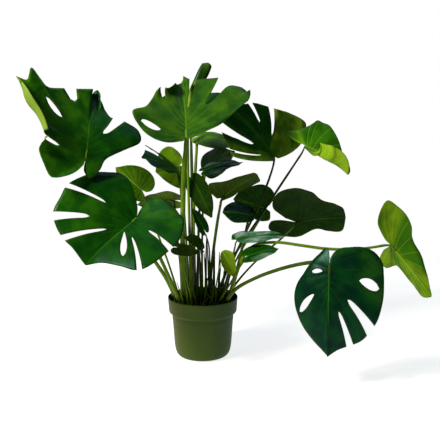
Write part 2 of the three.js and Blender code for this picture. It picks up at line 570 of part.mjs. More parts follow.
// The soil with a plain hole for each stalk and stem that stands in it.
function makeSoil(feet) {
  const wall = innerWall().map(([radius, height]) => [radius - 2 * CLEARANCE, height + CLEARANCE]);
  const edge = wall[wall.length - 1][0];
  const rings = [];
  for (let i = 0; i < SOIL_RINGS; i++) rings.push([(edge * (SOIL_RINGS - i)) / SOIL_RINGS, SOIL_TOP]);
  const geometry = turned([[0, POT_WALL + CLEARANCE], ...wall, ...rings, [0, SOIL_TOP]], SOIL_SIDES);
  const place = geometry.getAttribute("position");
  for (let i = 0; i < place.count; i++) {
    const [x, y] = [place.getX(i), place.getY(i)];
    if (place.getZ(i) > SOIL_TOP - 1) place.setZ(i, SOIL_TOP + bump(x, y));
  }
  let soil = solidOf(geometry);
  const bottom = SOIL_TOP - HOLE_DEPTH;
  for (const [x, y, radius] of feet)
    soil = soil.subtract(post(x, y, radius + HOLE_MARGIN, bottom, POT_HEIGHT, HOLE_SIDES));
  return meshOf("soil", soil, "soil", 1);
}

// ---------------------------------------------------------------- leaves

const radians = THREE.MathUtils.degToRad;
const clamp = THREE.MathUtils.clamp;
const vector = (list) => new THREE.Vector3(...list);

// A point of an outline at t, from 0 at the notch to 1 at the tip, on a smooth curve.
function outlineAt(outline, t) {
  const last = outline.length - 1;
  const place = clamp(t * last, 0, last - 1e-9);
  const i = Math.floor(place);
  const f = place - i;
  const at = (k) => outline[clamp(k, 0, last)];
  return [0, 1].map((axis) => {
    const [a, b, c, d] = [at(i - 1)[axis], at(i)[axis], at(i + 1)[axis], at(i + 2)[axis]];
    const slope = (c - a) * f;
    return 0.5 * (2 * b + slope + (2 * a - 5 * b + 4 * c - d) * f ** 2 + (3 * b - a - 3 * c + d) * f ** 3);
  });
}

// The blade's own axes: along the chord of its midrib, across it and up from its face.
function frameOf(leaf) {
  const joint = vector(leaf.joint);
  const chord = vector(leaf.tip).sub(joint);
  const along = chord.clone().normalize();
  const face = vector(leaf.face);
  const up = face.addScaledVector(along, -face.dot(along)).normalize();
  const arch = radians(leaf.arch);
  const length = (chord.length() * (arch / 2)) / Math.sin(arch / 2);
  return { joint, along, up, across: new THREE.Vector3().crossVectors(along, up), arch, length };
}

// The midrib is an arc. This is its point and its axes at the share v of its length.
function midribAt(frame, v) {
  const { joint, along, up, arch, length } = frame;
  const angle = arch / 2 - arch * v;
  const radius = length / arch;
  const point = joint
    .clone()
    .addScaledVector(along, radius * (Math.sin(arch / 2) - Math.sin(angle)))
    .addScaledVector(up, radius * (Math.cos(angle) - Math.cos(arch / 2)));
  const forward = along.clone().multiplyScalar(Math.cos(angle)).addScaledVector(up, Math.sin(angle));
  const above = along.clone().multiplyScalar(-Math.sin(angle)).addScaledVector(up, Math.cos(angle));
  return { point, forward, above };
}

const veinStart = (t) => VEIN_END * clamp((t - BASAL_SHARE) / (1 - BASAL_SHARE), 0, 1);

// A point of the blade: t picks the side vein by where it meets the margin, s runs along it from the
// midrib at 0 to the margin at 1. The vein leaves the midrib at the half's fold and then curls and waves.
function bladePoint(leaf, frame, half, t, s) {
  const { width, fold, curl } = leaf[half];
  const sign = half === "R" ? 1 : -1;
  const v = veinStart(t);
  const { point, forward, above } = midribAt(frame, v);
  const side = frame.across.clone().multiplyScalar(sign);
  const [sine, cosine] = [Math.sin(radians(fold)), Math.cos(radians(fold))];
  const out = side.clone().multiplyScalar(cosine).addScaledVector(above, sine);
  const lift = side.clone().multiplyScalar(-sine).addScaledVector(above, cosine);
  const [u, w] = outlineAt(leaf["outline" + half] ?? OUTLINES[leaf.outline ?? "heart"], t);
  const reach = [u * width, (w - v) * frame.length];
  const bow = VEIN_BOW * clamp(Math.min(t, 1 - t) / BASAL_SHARE, 0, 1);
  const flat = (k) => [
    reach[0] * k + bow * 2 * k * (1 - k) * reach[1],
    reach[1] * k - bow * 2 * k * (1 - k) * reach[0],
  ];
  const [waveAngle, waves] = leaf.wave;
  const phase = 2 * Math.PI * waves * t + (half === "R" ? WAVE_SHIFT : 0);
  for (let i = 0; i < WALK_STEPS; i++) {
    const [from, to] = [(s * i) / WALK_STEPS, (s * (i + 1)) / WALK_STEPS];
    const [a, b] = [flat(from), flat(to)];
    const middle = (from + to) / 2;
    const turn = radians(curl) * middle ** CURL_GROWTH + radians(waveAngle) * Math.sin(phase) * middle;
    const step = [b[0] - a[0], b[1] - a[1]];
    const flatPart = Math.cos(turn);
    point.addScaledVector(out, step[0] * flatPart).addScaledVector(forward, step[1] * flatPart);
    point.addScaledVector(lift, Math.hypot(...step) * Math.sin(turn));
  }
  return point;
}

// How wide a cut is at s, as a share of its full width: rounded at its inner end.
function cutWidth(s, start, end) {
  const q = (s - start) / (end - start);
  if (q <= 0 || q > 1) return 0;
  if (end < 1) return Math.sin(Math.PI * q) ** HOLE_BLUNTNESS;
  const rounding = Math.sqrt(1 - (1 - clamp(q / SLIT_ROUND, 0, 1)) ** 2);
  return rounding * (SLIT_TAPER + (1 - SLIT_TAPER) * q);
}

// The columns of the blade's grid, as places on the outline: every cut lies on one.
function columnsOf(leaf, perOutline) {
  const stops = [0, ...new Set(leaf.cuts.map((cut) => cut[1])), 1].sort((a, b) => a - b);
  const columns = [0];
  for (let i = 1; i < stops.length; i++) {
    const count = Math.max(1, Math.round((stops[i] - stops[i - 1]) * perOutline));
    for (let k = 1; k <= count; k++) columns.push(stops[i - 1] + ((stops[i] - stops[i - 1]) * k) / count);
  }
  return columns;
}

// The row of the grid nearest to a share of the way out.
function nearest(rows, s) {
  const distances = rows.map((row) => Math.abs(row - s));
  return distances.indexOf(Math.min(...distances));
}

// The blade's middle surface, as points and triangles that face up. rib is how thick the midrib is
// under each point.
function bladeSurface(leaf, perOutline, rowCount) {
  const frame = frameOf(leaf);
  const columns = columnsOf(leaf, perOutline);
  const rows = Array.from({ length: rowCount + 1 }, (_, r) => (r / rowCount) ** ROW_SPACING);
  const [points, ribs, triangles] = [[], [], []];
  const known = new Map();
  const remember = (key, point, rib) => {
    if (!known.has(key)) {
      known.set(key, points.length);
      points.push(point);
      ribs.push(rib);
    }
    return known.get(key);
  };
  const ribAt = (v) => RIB_AT_JOINT + (RIB_AT_TIP - RIB_AT_JOINT) * v;
  for (const half of ["L", "R"]) {
    const cuts = leaf.cuts
      .filter((cut) => cut[0] === half)
      .map(([, t, start, end, width]) => {
        const first = nearest(rows, start);
        const last = end < 1 ? clamp(nearest(rows, end), first + 2, rowCount - 1) : rowCount;
        return { t, first, last, open: end >= 1, width };
      })
      .sort((a, b) => a.t - b.t);
    const bounds = [{ t: 0 }, ...cuts, { t: 1 }];
    const gap = (cut, r) =>
      cut.width ? (cut.width / 2) * cutWidth(rows[r], rows[cut.first], cut.open ? 1 : rows[cut.last]) : 0;
    const split = (cut, r) => cut.width && r > cut.first && (cut.open || r < cut.last);
    for (let lobe = 1; lobe < bounds.length; lobe++) {
      const [near, far] = [bounds[lobe - 1], bounds[lobe]];
      const between = ({ t }) => t >= near.t - 1e-6 && t <= far.t + 1e-6;
      const own = columns.map((t, i) => ({ t, i })).filter(between);
      const grid = own.map(({ t, i }, k) =>
        rows.map((s, r) => {
          const share = (t - near.t) / (far.t - near.t);
          const place = (near.t + gap(near, r)) * (1 - share) + (far.t - gap(far, r)) * share;
          const point = bladePoint(leaf, frame, half, place, s);
          if (r === 0 && t <= BASAL_SHARE) return remember("M", point, 0);
          if (r === 0) return remember("M" + i, point, ribAt(veinStart(t)));
          if (i === columns.length - 1) return remember("T" + r, point, ribAt(VEIN_END + (1 - VEIN_END) * s));
          const edge = k === 0 && split(near, r) ? "a" : k === own.length - 1 && split(far, r) ? "b" : "";
          return remember(half + i + "/" + r + edge, point, 0);
        }),
      );
      for (let k = 1; k < grid.length; k++)
        for (let r = 0; r < rowCount; r++) {
          const [a, b, c, d] = [grid[k - 1][r], grid[k][r], grid[k][r + 1], grid[k - 1][r + 1]];
          const pair = (k + r) % 2 ? [[a, b, c], [a, c, d]] : [[a, b, d], [b, c, d]];
          for (const [p, q, o] of pair)
            if (p !== q && q !== o && p !== o) triangles.push(half === "L" ? [p, q, o] : [p, o, q]);
        }
    }
  }
  return { points, ribs, triangles };
}

// A closed sheet on both sides of a surface, split into the same triangles above and below.
function thicken({ points, ribs, triangles }, thickness) {
  const normals = points.map(() => new THREE.Vector3());
  for (const [a, b, c] of triangles) {
    const one = points[b].clone().sub(points[a]);
    const normal = one.cross(points[c].clone().sub(points[a]));
    for (const i of [a, b, c]) normals[i].add(normal);
  }
  normals.forEach((normal) => normal.normalize());
  const count = points.length;
  const above = points.map((p, i) => p.clone().addScaledVector(normals[i], thickness / 2));
  const below = points.map((p, i) => p.clone().addScaledVector(normals[i], -thickness / 2 - ribs[i]));
  const faces = [...triangles, ...triangles.map(([a, b, c]) => [a + count, c + count, b + count])];
  const edges = new Set(triangles.flatMap(([a, b, c]) => [a + "_" + b, b + "_" + c, c + "_" + a]));
  for (const edge of edges) {
    const [a, b] = edge.split("_").map(Number);
    if (edges.has(b + "_" + a)) continue;
    faces.push([b, a, a + count], [b, a + count, b + count]);
  }
  return solidOf(indexed([...above, ...below], faces));
}

// The points of a stalk's or root's upright foot in its soil hole.
function footPoints(x, y) {
  const bottom = SOIL_TOP - HOLE_DEPTH + CLEARANCE;
  const heights = [bottom, bottom + HOLE_DEPTH / 2, SOIL_TOP + 2 * SOIL_BUMP];
  return heights.map((z) => new THREE.Vector3(x, y, z));
}

// How finely a leaf is cut up: columns along each half's outline, rows out to the margin and sides of
// the stalk.
const FINENESS = [
  { perOutline: 8, rows: 3, sides: 5 },
  { perOutline: 14, rows: 4, sides: 6 },
  { perOutline: 17, rows: 5, sides: 6 },
];

// The stalk stands upright in its hole, follows its way and ends along the underside of the midrib, or at
// the joint where the blade hangs back from it.
function makeStalk(leaf, sides) {
  const frame = frameOf(leaf);
  const [x, y] = leaf.stalk;
  const under = (v, drop) => {
    const { point, above } = midribAt(frame, v);
    return point.addScaledVector(above, -drop);
  };
  const way = leaf.way.map(vector);
  const arrival = under(0, 0).sub(way[way.length - 1]);
  const hangs = arrival.dot(midribAt(frame, 0).forward) < 0;
  const alongRib = [under(0, STALK_END_DROP + 1), under(STALK_END_SHARE, STALK_END_DROP)];
  const points = [...footPoints(x, y), ...way, ...(hangs ? [under(0, 0)] : alongRib)];
  return rod(points, (share) => stalkRadius(leaf.stalk, share), sides, STALK_STEP);
}

// A stalk is a sheath at its foot, narrows to its own radius and narrows again at the joint.
function stalkRadius([, , footRadius, radius], share) {
  const sheath = (footRadius - radius) * clamp(1 - share / SHEATH_LENGTH, 0, 1) ** SHEATH_TAPER;
  const narrowing = 1 - (1 - STALK_END_RADIUS) * clamp((share - STALK_NARROWS) / (1 - STALK_NARROWS), 0, 1);
  return (radius + sheath) * narrowing;
}

function makeLeaf(leaf) {
  const { perOutline, rows, sides } = FINENESS[leaf.fine];
  const blade = thicken(bladeSurface(leaf, perOutline, rows), BLADE_THICKNESS);
  return meshOf(leaf.name, blade.add(makeStalk(leaf, sides)), leaf.colour, 0.45);
}

// The rolled leaf: a sheet wound round an axis, wide at the middle and open at the top.
function makeNewLeaf() {
  const { roll, innerRadius, layerGap, turns, lengthSteps, turnSteps, slim, swellSpan } = NEW_LEAF;
  const axis = new THREE.CatmullRomCurve3(roll.map(vector), false, "centripetal");
  const { normals, binormals } = axis.computeFrenetFrames(lengthSteps, false);
  const swell = (share) => slim + NEW_LEAF.swell * Math.sin(Math.PI * share * swellSpan) ** 2;
  const points = [];
  const triangles = [];
  for (let i = 0; i <= lengthSteps; i++)
    for (let k = 0; k <= turnSteps; k++) {
      const angle = (2 * Math.PI * turns * k) / turnSteps;
      const radius = (innerRadius + (layerGap * turns * k) / turnSteps) * swell(i / lengthSteps);
      const point = axis.getPointAt(i / lengthSteps);
      point.addScaledVector(normals[i], radius * Math.cos(angle));
      point.addScaledVector(binormals[i], radius * Math.sin(angle));
      points.push(point);
      if (i === 0 || k === 0) continue;
      const d = i * (turnSteps + 1) + k;
      const [a, b, c] = [d - turnSteps - 2, d - turnSteps - 1, d - 1];
      triangles.push([a, b, d], [a, d, c]);
    }
  const sheet = thicken({ points, ribs: points.map(() => 0), triangles }, BLADE_THICKNESS);
  const [x, y] = NEW_LEAF.stalk;
  const seat = axis.getPointAt(NEW_LEAF.seat);
  const way = [...footPoints(x, y), ...NEW_LEAF.way.map(vector), vector(roll[0]), seat];
  const stalk = rod(way, (share) => stalkRadius(NEW_LEAF.stalk, share), NEW_LEAF.sides, STALK_STEP);
  return meshOf(NEW_LEAF.name, sheet.add(stalk), "bright", 0.45);
}

// A short stem with rings where old leaves stood, joined with its roots.
function makeStem(stem) {
  const [x, y] = stem.foot;
  const top = vector(stem.top);
  const ringed = (share) => {
    const ring = 1 - STEM_WAIST * Math.sin(Math.PI * STEM_NODES * share) ** 2;
    const rounding = clamp((share - STEM_ROUNDS_AT) / (STEM_ROUNDS_TO - STEM_ROUNDS_AT), 0, 1);
    return stem.radius * ring * Math.sqrt(1 - rounding ** 2);
  };
  let solid = rod([...footPoints(x, y), top], ringed, STEM_SIDES, STEM_STEP);
  for (const root of stem.roots) {
    const [rx, ry] = root.foot;
    const share = (root.from - SOIL_TOP) / (stem.top[2] - SOIL_TOP);
    const start = new THREE.Vector3(x, y, SOIL_TOP).lerp(top, share);
    const elbow = new THREE.Vector3(rx, ry, SOIL_TOP + ROOT_ELBOW);
    const middle = start.clone().lerp(elbow, 0.6).setZ(root.from - 4);
    const points = [start, middle, elbow, ...footPoints(rx, ry).reverse()];
    solid = solid.add(rod(points, () => ROOT_RADIUS, ROOT_SIDES, ROOT_STEP));
  }
  return meshOf(stem.name, solid, "stem", 0.8);
}

// ---------------------------------------------------------------- the whole plant

// Where a hole is needed in the soil, as [x, y, radius].
function soilFeet() {
  const stalks = [...LEAVES, NEW_LEAF].map((leaf) => leaf.stalk);
  const stems = STEMS.map((stem) => [...stem.foot, stem.radius]);
  const roots = STEMS.flatMap((stem) => stem.roots.map((root) => [...root.foot, ROOT_RADIUS]));
  return [...stalks, ...stems, ...roots];
}

const plant = new THREE.Group();
plant.add(makePot());
plant.add(makeSoil(soilFeet()));
for (const stem of STEMS) plant.add(makeStem(stem));
for (const leaf of LEAVES) plant.add(makeLeaf(leaf));
plant.add(makeNewLeaf());

export default plant;
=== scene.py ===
"""A potted monstera plant: the pot, the soil, the stems and every leaf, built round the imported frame.

Lengths are in millimetres until a mesh is made, which is in metres. Colours are in thousandths of linear
light. The leaves grow from the same driving values as the solids: a leaf's midrib is an arc, its side
veins run from the midrib to points of its outline, and the blade is the surface that they span.
"""

import math
import random

import bpy
import numpy as np
from mathutils import Matrix, Vector, noise


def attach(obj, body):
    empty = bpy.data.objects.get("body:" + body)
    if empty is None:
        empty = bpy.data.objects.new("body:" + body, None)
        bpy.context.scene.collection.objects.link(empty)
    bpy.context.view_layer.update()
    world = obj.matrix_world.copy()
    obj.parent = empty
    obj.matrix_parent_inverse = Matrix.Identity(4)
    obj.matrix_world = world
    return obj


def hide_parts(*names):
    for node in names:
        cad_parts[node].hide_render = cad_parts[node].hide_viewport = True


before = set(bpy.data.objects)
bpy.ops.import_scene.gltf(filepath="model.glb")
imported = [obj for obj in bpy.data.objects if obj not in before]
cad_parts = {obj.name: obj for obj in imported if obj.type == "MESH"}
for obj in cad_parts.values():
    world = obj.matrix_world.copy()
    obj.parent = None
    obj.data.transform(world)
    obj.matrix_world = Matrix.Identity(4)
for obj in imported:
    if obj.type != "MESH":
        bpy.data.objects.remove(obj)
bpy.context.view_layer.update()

MM = 0.001
BODY = "root"
random.seed(8403)

# ---------------------------------------------------------------- the pot and the soil

POT_HEIGHT = 210
RIM_RADIUS = 121.5
COLLAR_RADIUS = 118.5
COLLAR_BOTTOM = 158
NECK_RADIUS = 107
FOOT_RADIUS = 100
BASE_RADIUS = 78
POT_WALL = 2
POT_ROUNDING = 1.6
POT_SIDES = 160
DRAIN_COUNT = 8
DRAIN_RADIUS = 6
DRAIN_CIRCLE = 62
DRAIN_SIDES = 32

SOIL_TOP = 182
SOIL_BUMP = 3.5
SOIL_RADIUS = 103
SOIL_RINGS = 60
SOIL_SIDES = 180
CHIP_COUNT = 420
HOLE_DEPTH = 34
CLEARANCE = 0.3

# ---------------------------------------------------------------- the form of blades and stalks

BLADE_THICKNESS = 0.7
BASAL_SHARE = 0.3  # the part of the margin whose veins all leave the stalk joint
VEIN_END = 0.35  # where on the midrib the last side veins leave it
VEIN_BOW = 0.1  # how far a side vein bows before it turns to the tip
CURL_GROWTH = 1.3  # how late the curl sets in on the way out
WAVE_SHIFT = 1.7  # how far the right half's waves lag the left half's, in radians
WALK_STEPS = 24
SLIT_ROUND = 0.22  # the rounded inner end of a slit, as a share of its length
SLIT_TAPER = 0.65  # how wide a slit is behind its rounded end, as a share of its mouth
HOLE_BLUNTNESS = 0.6
STALK_END_RADIUS = 0.6
STALK_END_DROP = 2.2
STALK_END_SHARE = 0.1
STALK_NARROWS = 0.8
SHEATH_LENGTH = 0.45
SHEATH_TAPER = 1.2
STALK_SIDES = 14
STALK_STEP = 9
PLANT_X, PLANT_Y = 10, 0  # the plant's axis, which the sheaths' grooves face

VEINS_PER_OUTLINE = 9
COLUMNS_PER_OUTLINE = 56
ROWS = [0, 0.008, 0.02] + [0.05 + 0.95 * k / 20 for k in range(21)]
VEIN_HALF_WIDTH = 0.006  # on the outline
RIB_HEIGHT = 2.4  # under the midrib at the joint
RIB_HEIGHT_TIP = 0.4
RIB_WIDTH = 1.6
SIDE_RIB_HEIGHT = 0.7
QUILT_DEPTH = 1.1  # how deep the side veins lie between the swells of the blade
QUILT_WIDTH = 8
UNEVENNESS = 1.6
UNEVEN_SIZE = 55

# ---------------------------------------------------------------- the leaves

# Outlines run from the notch at the stalk to the tip, in hundredths of the half's width and of the
# midrib's length.
HEART = [(10, -17), (36, -25), (68, -20), (92, -3), (100, 18), (95, 40), (78, 62), (50, 81), (20, 94.5),
    (0, 104)]
LANCE = [(6, -5), (34, -12), (70, -5), (92, 10), (100, 28), (93, 48), (75, 68), (48, 84), (20, 95), (0, 104)]

# A leaf's joint, tip and way are places, face is the way its upper side looks, L and R are the width, the
# fold and the curl of its halves, arch is the bend of its midrib, wave the angle and the number of the
# margin's waves, all angles in degrees, and stalk the foot's place and radius and the stalk's radius. A
# cut is (half, place on the outline, from and to on the side vein, width). A tint shows the second colour,
# painted light and shade such as a backlit glow, a shaded half or a pale glare: (half or B for both, from
# and to on the outline, start on the side vein, share). A roll is the same with an angle in place of the
# share. look and stalk_look are the colours of its own; look also holds the painted light and shade of its
# place.
USUAL = dict(outline=HEART, arch=20, wave=(3, 3), cuts=[], tints=[], rolls=[], stalk_look="olive", look={})
LEAVES = []


def add_leaf(name, colour, **facts):
    """Adds a leaf to the list. What it doesn't say is as usual."""
    LEAVES.append({**USUAL, "name": "leaf_" + name, "colour": colour, **facts})


add_leaf(
    "front_right", "deep", joint=(390, -300, 390), tip=(390, -330, 120), face=(-0.3, -1, 0.3),
    L=(170, -8, -18), R=(130, -8, -18), arch=25, wave=(4, 2),
    outline_L=[(1, -9), (10, -17), (30, -23), (66, -24), (92, -16), (98, 4), (98, 30), (91, 52), (80, 67),
        (61, 82), (41, 89), (19, 95), (0, 103)],
    outline_R=[(0, -8), (4, -18), (11, -21), (21, -18), (47, -6), (70, 11), (85, 28), (86, 46), (72, 67),
        (46, 83), (20, 94), (0, 103)],
    cuts=[("R", 0.44, 0.22, 0.6, 0.045), ("R", 0.685, 0.4, 0.92, 0.05), ("L", 0.485, 0.53, 0.92, 0.05),
        ("L", 0.683, 0.4, 1, 0.06), ("L", 0.835, 0.38, 1, 0.045)],
    stalk=(72, -54, 10, 6),
    way=[(108, -88, 255), (175, -140, 310), (275, -210, 365), (345, -255, 390), (380, -278, 396)],
    tints=[("L", 0.1, 0.55, 0.55, 0.35)], rolls=[("L", 0.1, 0.4, 0.7, -35), ("R", 0.25, 0.5, 0.7, -30)],
    look=dict(upper=((1, 13, 6), (2, 28, 6)), second=((6, 50, 2), (20, 100, 2)), veins=0.12, rib=0.5,
        gloss=0.1),
)
add_leaf(
    "upper_left", "deep", joint=(-355, -190, 705), tip=(-375, 20, 912), face=(0.3, -0.8, 0.6),
    L=(230, 20, 10), R=(190, 0, -25), arch=40,
    outline_L=[(3, -8), (14, -18), (29, -26), (48, -30), (59, -18), (70, -3), (75, 12), (81, 22), (95, 36),
        (112, 49), (111, 62), (96, 63), (94, 77), (80, 69), (67, 64), (46, 71), (23, 79), (0, 87)],
    outline_R=[(-2, -7), (-1, -14), (10, -20), (25, -10), (34, 4), (63, 18), (92, 33), (89, 49), (69, 56),
        (50, 58), (36, 58), (25, 70), (17, 77), (16, 86), (10, 91), (0, 87)],
    cuts=[("L", 0.36, 0.51, 1, 0.035), ("L", 0.69, 0.36, 0.68, 0.05), ("L", 0.915, 0.72, 1, 0.045),
        ("R", 0.6, 0.45, 1, 0.085)],
    stalk=(-88, -12, 11, 6),
    way=[(-120, -20, 270), (-170, -35, 355), (-225, -60, 455), (-290, -100, 560), (-345, -150, 665)],
    tints=[("L", 0, 1, 0, 0.55), ("L", 0.25, 0.62, 0.75, 1), ("R", 0.1, 0.35, 0.3, 0.3)],
    rolls=[("L", 0.27, 0.6, 0.74, 112), ("R", 0.72, 1, 0.7, 60)], stalk_look="bright",
    look=dict(under_second=(170, 270, 30)),
)
add_leaf(
    "mid_left", "deep", joint=(-200, -200, 520), tip=(-340, -330, 410), face=(0.3, -0.7, 0.6),
    L=(220, 30, -15), R=(190, 10, -15), arch=10, wave=(4, 2),
    outline_L=[(-6, -8.5), (-15, -29), (-19, -55), (0, -67), (34, -56), (59, -34), (77, -2), (80, 30),
        (77, 55), (66, 71), (40, 78), (14, 88), (0, 103)],
    outline_R=[(9, -9.5), (20, -18), (45, -32), (76, -43), (98, -25), (110, 14), (114, 42), (105, 63),
        (94, 84), (73, 95), (49, 100), (28, 100), (0, 103)],
    cuts=[("R", 0.508, 0.43, 1, 0.03), ("R", 0.69, 0.53, 1, 0.05), ("R", 0.825, 0.28, 1, 0.04),
        ("L", 0.55, 0.38, 1, 0.025), ("L", 0.735, 0.3, 1, 0.03), ("L", 0.825, 0.12, 0.75, 0.05)],
    stalk=(-72, -52, 11, 6),
    way=[(-100, -75, 270), (-130, -100, 350), (-165, -130, 440), (-190, -165, 500)],
    tints=[("L", 0.05, 0.45, 0.2, 0.35), ("R", 0.5, 0.8, 0.3, 0.2)],
    rolls=[("L", 0.12, 0.4, 0.7, -40), ("R", 0.1, 0.4, 0.7, -35)], stalk_look="bright",
)
add_leaf(
    "top_centre", "mid", joint=(-45, -150, 770), tip=(-65, 60, 940), face=(0, -0.75, 0.65), L=(190, 15, 0),
    R=(225, 15, 0), wave=(4, 3),
    outline_L=[(6, -7), (34, -12), (56, -7), (75, 6), (90, 28), (68, 38), (55, 56), (46, 70), (31, 70),
        (15, 83), (4, 92), (0, 98)],
    outline_R=[(5, -5), (31, 2), (50, 8), (67, 16), (81, 24), (93, 33), (97, 50), (90, 64), (73, 72),
        (52, 83), (32, 90), (14, 92), (0, 103)],
    cuts=[("L", 0.33, 0.5, 0.85, 0.06), ("L", 0.663, 0.7, 1, 0.05), ("R", 0.7, 0.42, 1, 0.085),
        ("R", 0.91, 0.2, 1, 0.05)],
    stalk=(-58, -24, 19, 8.5),
    way=[(-64, -42, 300), (-65, -60, 420), (-62, -85, 540), (-56, -115, 660), (-48, -138, 735)],
    tints=[("L", 0.05, 0.4, 0.25, 0.7), ("R", 0.1, 0.5, 0.3, 0.7), ("R", 0.75, 0.9, 0.3, 0.6)],
    rolls=[("L", 0.55, 0.85, 0.7, 70), ("R", 0.5, 0.72, 0.72, -50)], stalk_look="bright",
)
add_leaf(
    "top_right_inner", "deep", joint=(245, 0, 695), tip=(90, -60, 865), face=(0.1, -0.8, 0.6),
    L=(170, 0, -15), R=(190, 0, -15), wave=(4, 3),
    outline_L=[(9, -2), (31, 13), (54, 32), (73, 54), (68, 65), (54, 85), (44, 94), (30, 99), (14, 100),
        (0, 103)],
    outline_R=[(5, -7), (42, -24), (80, -34), (107, -24), (116, -12), (102, 13), (69, 45), (43, 73),
        (29, 83), (12, 95), (0, 103)],
    cuts=[("L", 0.42, 0.3, 1, 0.03), ("L", 0.63, 0.35, 1, 0.13), ("R", 0.61, 0.33, 1, 0.03),
        ("R", 0.745, 0.52, 1, 0.045)],
    stalk=(66, 8, 7, 4),
    way=[(100, 14, 320), (150, 30, 430), (195, 40, 525), (230, 32, 620), (243, 16, 672)],
    tints=[("R", 0, 0.6, 0, 1), ("L", 0, 0.5, 0.1, 0.7)], stalk_look="dark",
    look=dict(upper=((4, 45, 2), (12, 75, 2)), second=((50, 130, 3), (130, 240, 8)), veins=0.5),
)
add_leaf(
    "top_right_outer", "bright", joint=(345, -20, 735), tip=(485, -60, 650), face=(0.3, -0.45, 0.85),
    L=(140, 35, -15), R=(90, 10, -15), arch=8,
    outline_L=[(-2, -16), (3, -42), (13, -50), (35, -28), (73, -14), (94, -6), (85, 21), (57, 52), (26, 76),
        (15, 95), (0, 103)],
    outline_R=[(21, 0), (36, 18), (44, 39), (55, 59), (63, 73), (67, 87), (41, 99), (0, 103)],
    stalk=(50, 30, 7, 4),
    way=[(92, 42, 310), (145, 48, 400), (195, 46, 475), (250, 34, 565), (308, 8, 662), (337, -8, 712)],
    tints=[("L", 0.3, 0.9, 0.1, 0.9), ("L", 0.05, 0.3, 0.4, 0.4)],
    rolls=[("R", 0.2, 0.95, 0.3, 150), ("L", 0.3, 0.6, 0.75, -50), ("L", 0.8, 1, 0.6, 90)],
    stalk_look="dark", look=dict(under=((160, 280, 6), (200, 340, 10)), under_second=(220, 360, 10)),
)
add_leaf(
    "far_right", "bright", joint=(620, -120, 415), tip=(747.5, -149, 252), face=(0.3, 0.9, 0.3),
    L=(150, 20, -5), R=(150, 20, -5), arch=15,
    outline_L=[(24, 1), (53, 14), (52, 30), (31, 33), (24, 36), (21, 50), (22, 68), (23, 86), (17, 98),
        (0, 103)],
    outline_R=[(-2, -12), (2, -27), (10, -43), (31, -55), (56, -60), (64, -45), (67, -25), (60, -5),
        (46, 10), (41, 29), (35, 48), (23, 68), (10, 87), (0, 103)],
    stalk=(84, -36, 9, 5),
    way=[(108, -52, 280), (140, -72, 370), (175, -85, 408), (245, -95, 420), (330, -108, 412),
        (405, -120, 404), (490, -132, 404), (560, -134, 412), (600, -128, 417)],
    tints=[("R", 0.45, 0.85, 0.1, 0.8), ("L", 0.4, 0.6, 0.2, 0.7), ("R", 0.05, 0.2, 0.2, 0.5)],
    rolls=[("R", 0.6, 0.9, 0.7, 50)], stalk_look="bright", look=dict(under_second=(15, 100, 1)),
)
add_leaf(
    "right_dark", "deep", joint=(330, 60, 460), tip=(490, 20, 485), face=(0, 0.75, 0.6), L=(110, 0, -15),
    R=(110, 0, -15), arch=15,
    outline_L=[(-35, -30), (-40, -50), (-10, -60), (35, -41), (57, -22), (61, 1), (42, 36), (59, 60),
        (59, 90), (0, 103)],
    outline_R=[(36, -20), (96, -36), (138, -34), (169, -14), (180, 24), (147, 48), (94, 63), (74, 88),
        (50, 102), (0, 103)],
    stalk=(82, 34, 6, 3.5), way=[(130, 44, 260), (205, 50, 340), (280, 42, 410), (316, 40, 446)],
    tints=[("R", 0.5, 0.8, 0.4, 0.6)], look=dict(under=((5, 22, 1), (11, 35, 1)), gloss=0.02, veins=0.15),
)
add_leaf(
    "right_back", "mid", joint=(225, 130, 500), tip=(110, 120, 535), face=(0, 0.8, 0.6), L=(120, 0, -15),
    R=(80, 0, -15), arch=15,
    outline_L=[(20, -7), (63, -9), (89, 13), (88, 52), (60, 80), (32, 97), (0, 103)],
    outline_R=[(8, -17), (46, -26), (69, -16), (78, 6), (72, 46), (36, 80), (0, 103)],
    stalk=(72, 56, 6, 3.5), way=[(110, 84, 300), (172, 110, 410), (212, 122, 475)],
    look=dict(under=((4, 26, 1), (10, 45, 1)), gloss=0.02, veins=0.2),
)
add_leaf(
    "right_mid", "deep", joint=(158, -20, 500), tip=(72, -40, 516), face=(0, -0.6, 0.8), L=(60, 0, -20),
    R=(80, 0, -20), arch=15,
    outline_L=[(2, -14), (14, -25), (44, -8), (65, 26), (69, 62), (43, 88), (10, 102), (0, 103)],
    outline_R=[(12, -16), (38, -34), (62, -25), (72, 6), (79, 33), (60, 69), (34, 92), (0, 103)],
    stalk=(90, -6, 7, 5), way=[(118, 4, 300), (142, 14, 400), (156, 2, 475)],
    look=dict(upper=((1, 10, 2), (2, 18, 4))),
)
# Its pale bluish second colour is a painted reflection, a glare on the glossy blade.
add_leaf(
    "right_low", "deep", joint=(116, -72, 424), tip=(283, -60, 440), face=(0, -0.25, 1), L=(60, 10, -15),
    R=(75, 10, -15), arch=15,
    outline_L=[(17, -10), (68, -6), (86, 7), (76, 25), (52, 54), (33, 83), (0, 103)],
    outline_R=[(18, 0), (43, 6), (66, 23), (66, 47), (52, 69), (27, 89), (0, 103)], stalk=(60, -34, 5, 3),
    way=[(84, -48, 280), (108, -66, 388)], tints=[("B", 0.2, 0.9, 0.15, 0.8)],
    look=dict(second=((30, 120, 60), (220, 320, 260)), rough=0.2, gloss=0.3),
)
# Its pale bluish second colour is a painted reflection, a glare on the glossy blade.
add_leaf(
    "right_low_dark", "deep", joint=(152, -135, 384), tip=(248, -130, 408), face=(0, -0.4, 1),
    L=(42, 10, -15), R=(45, 10, -15), arch=10, stalk=(46, -66, 5, 3),
    way=[(84, -96, 262), (128, -124, 348)], tints=[("R", 0.4, 0.8, 0.4, 0.5)],
    look=dict(second=((50, 120, 60), (200, 300, 220)), rough=0.2),
)
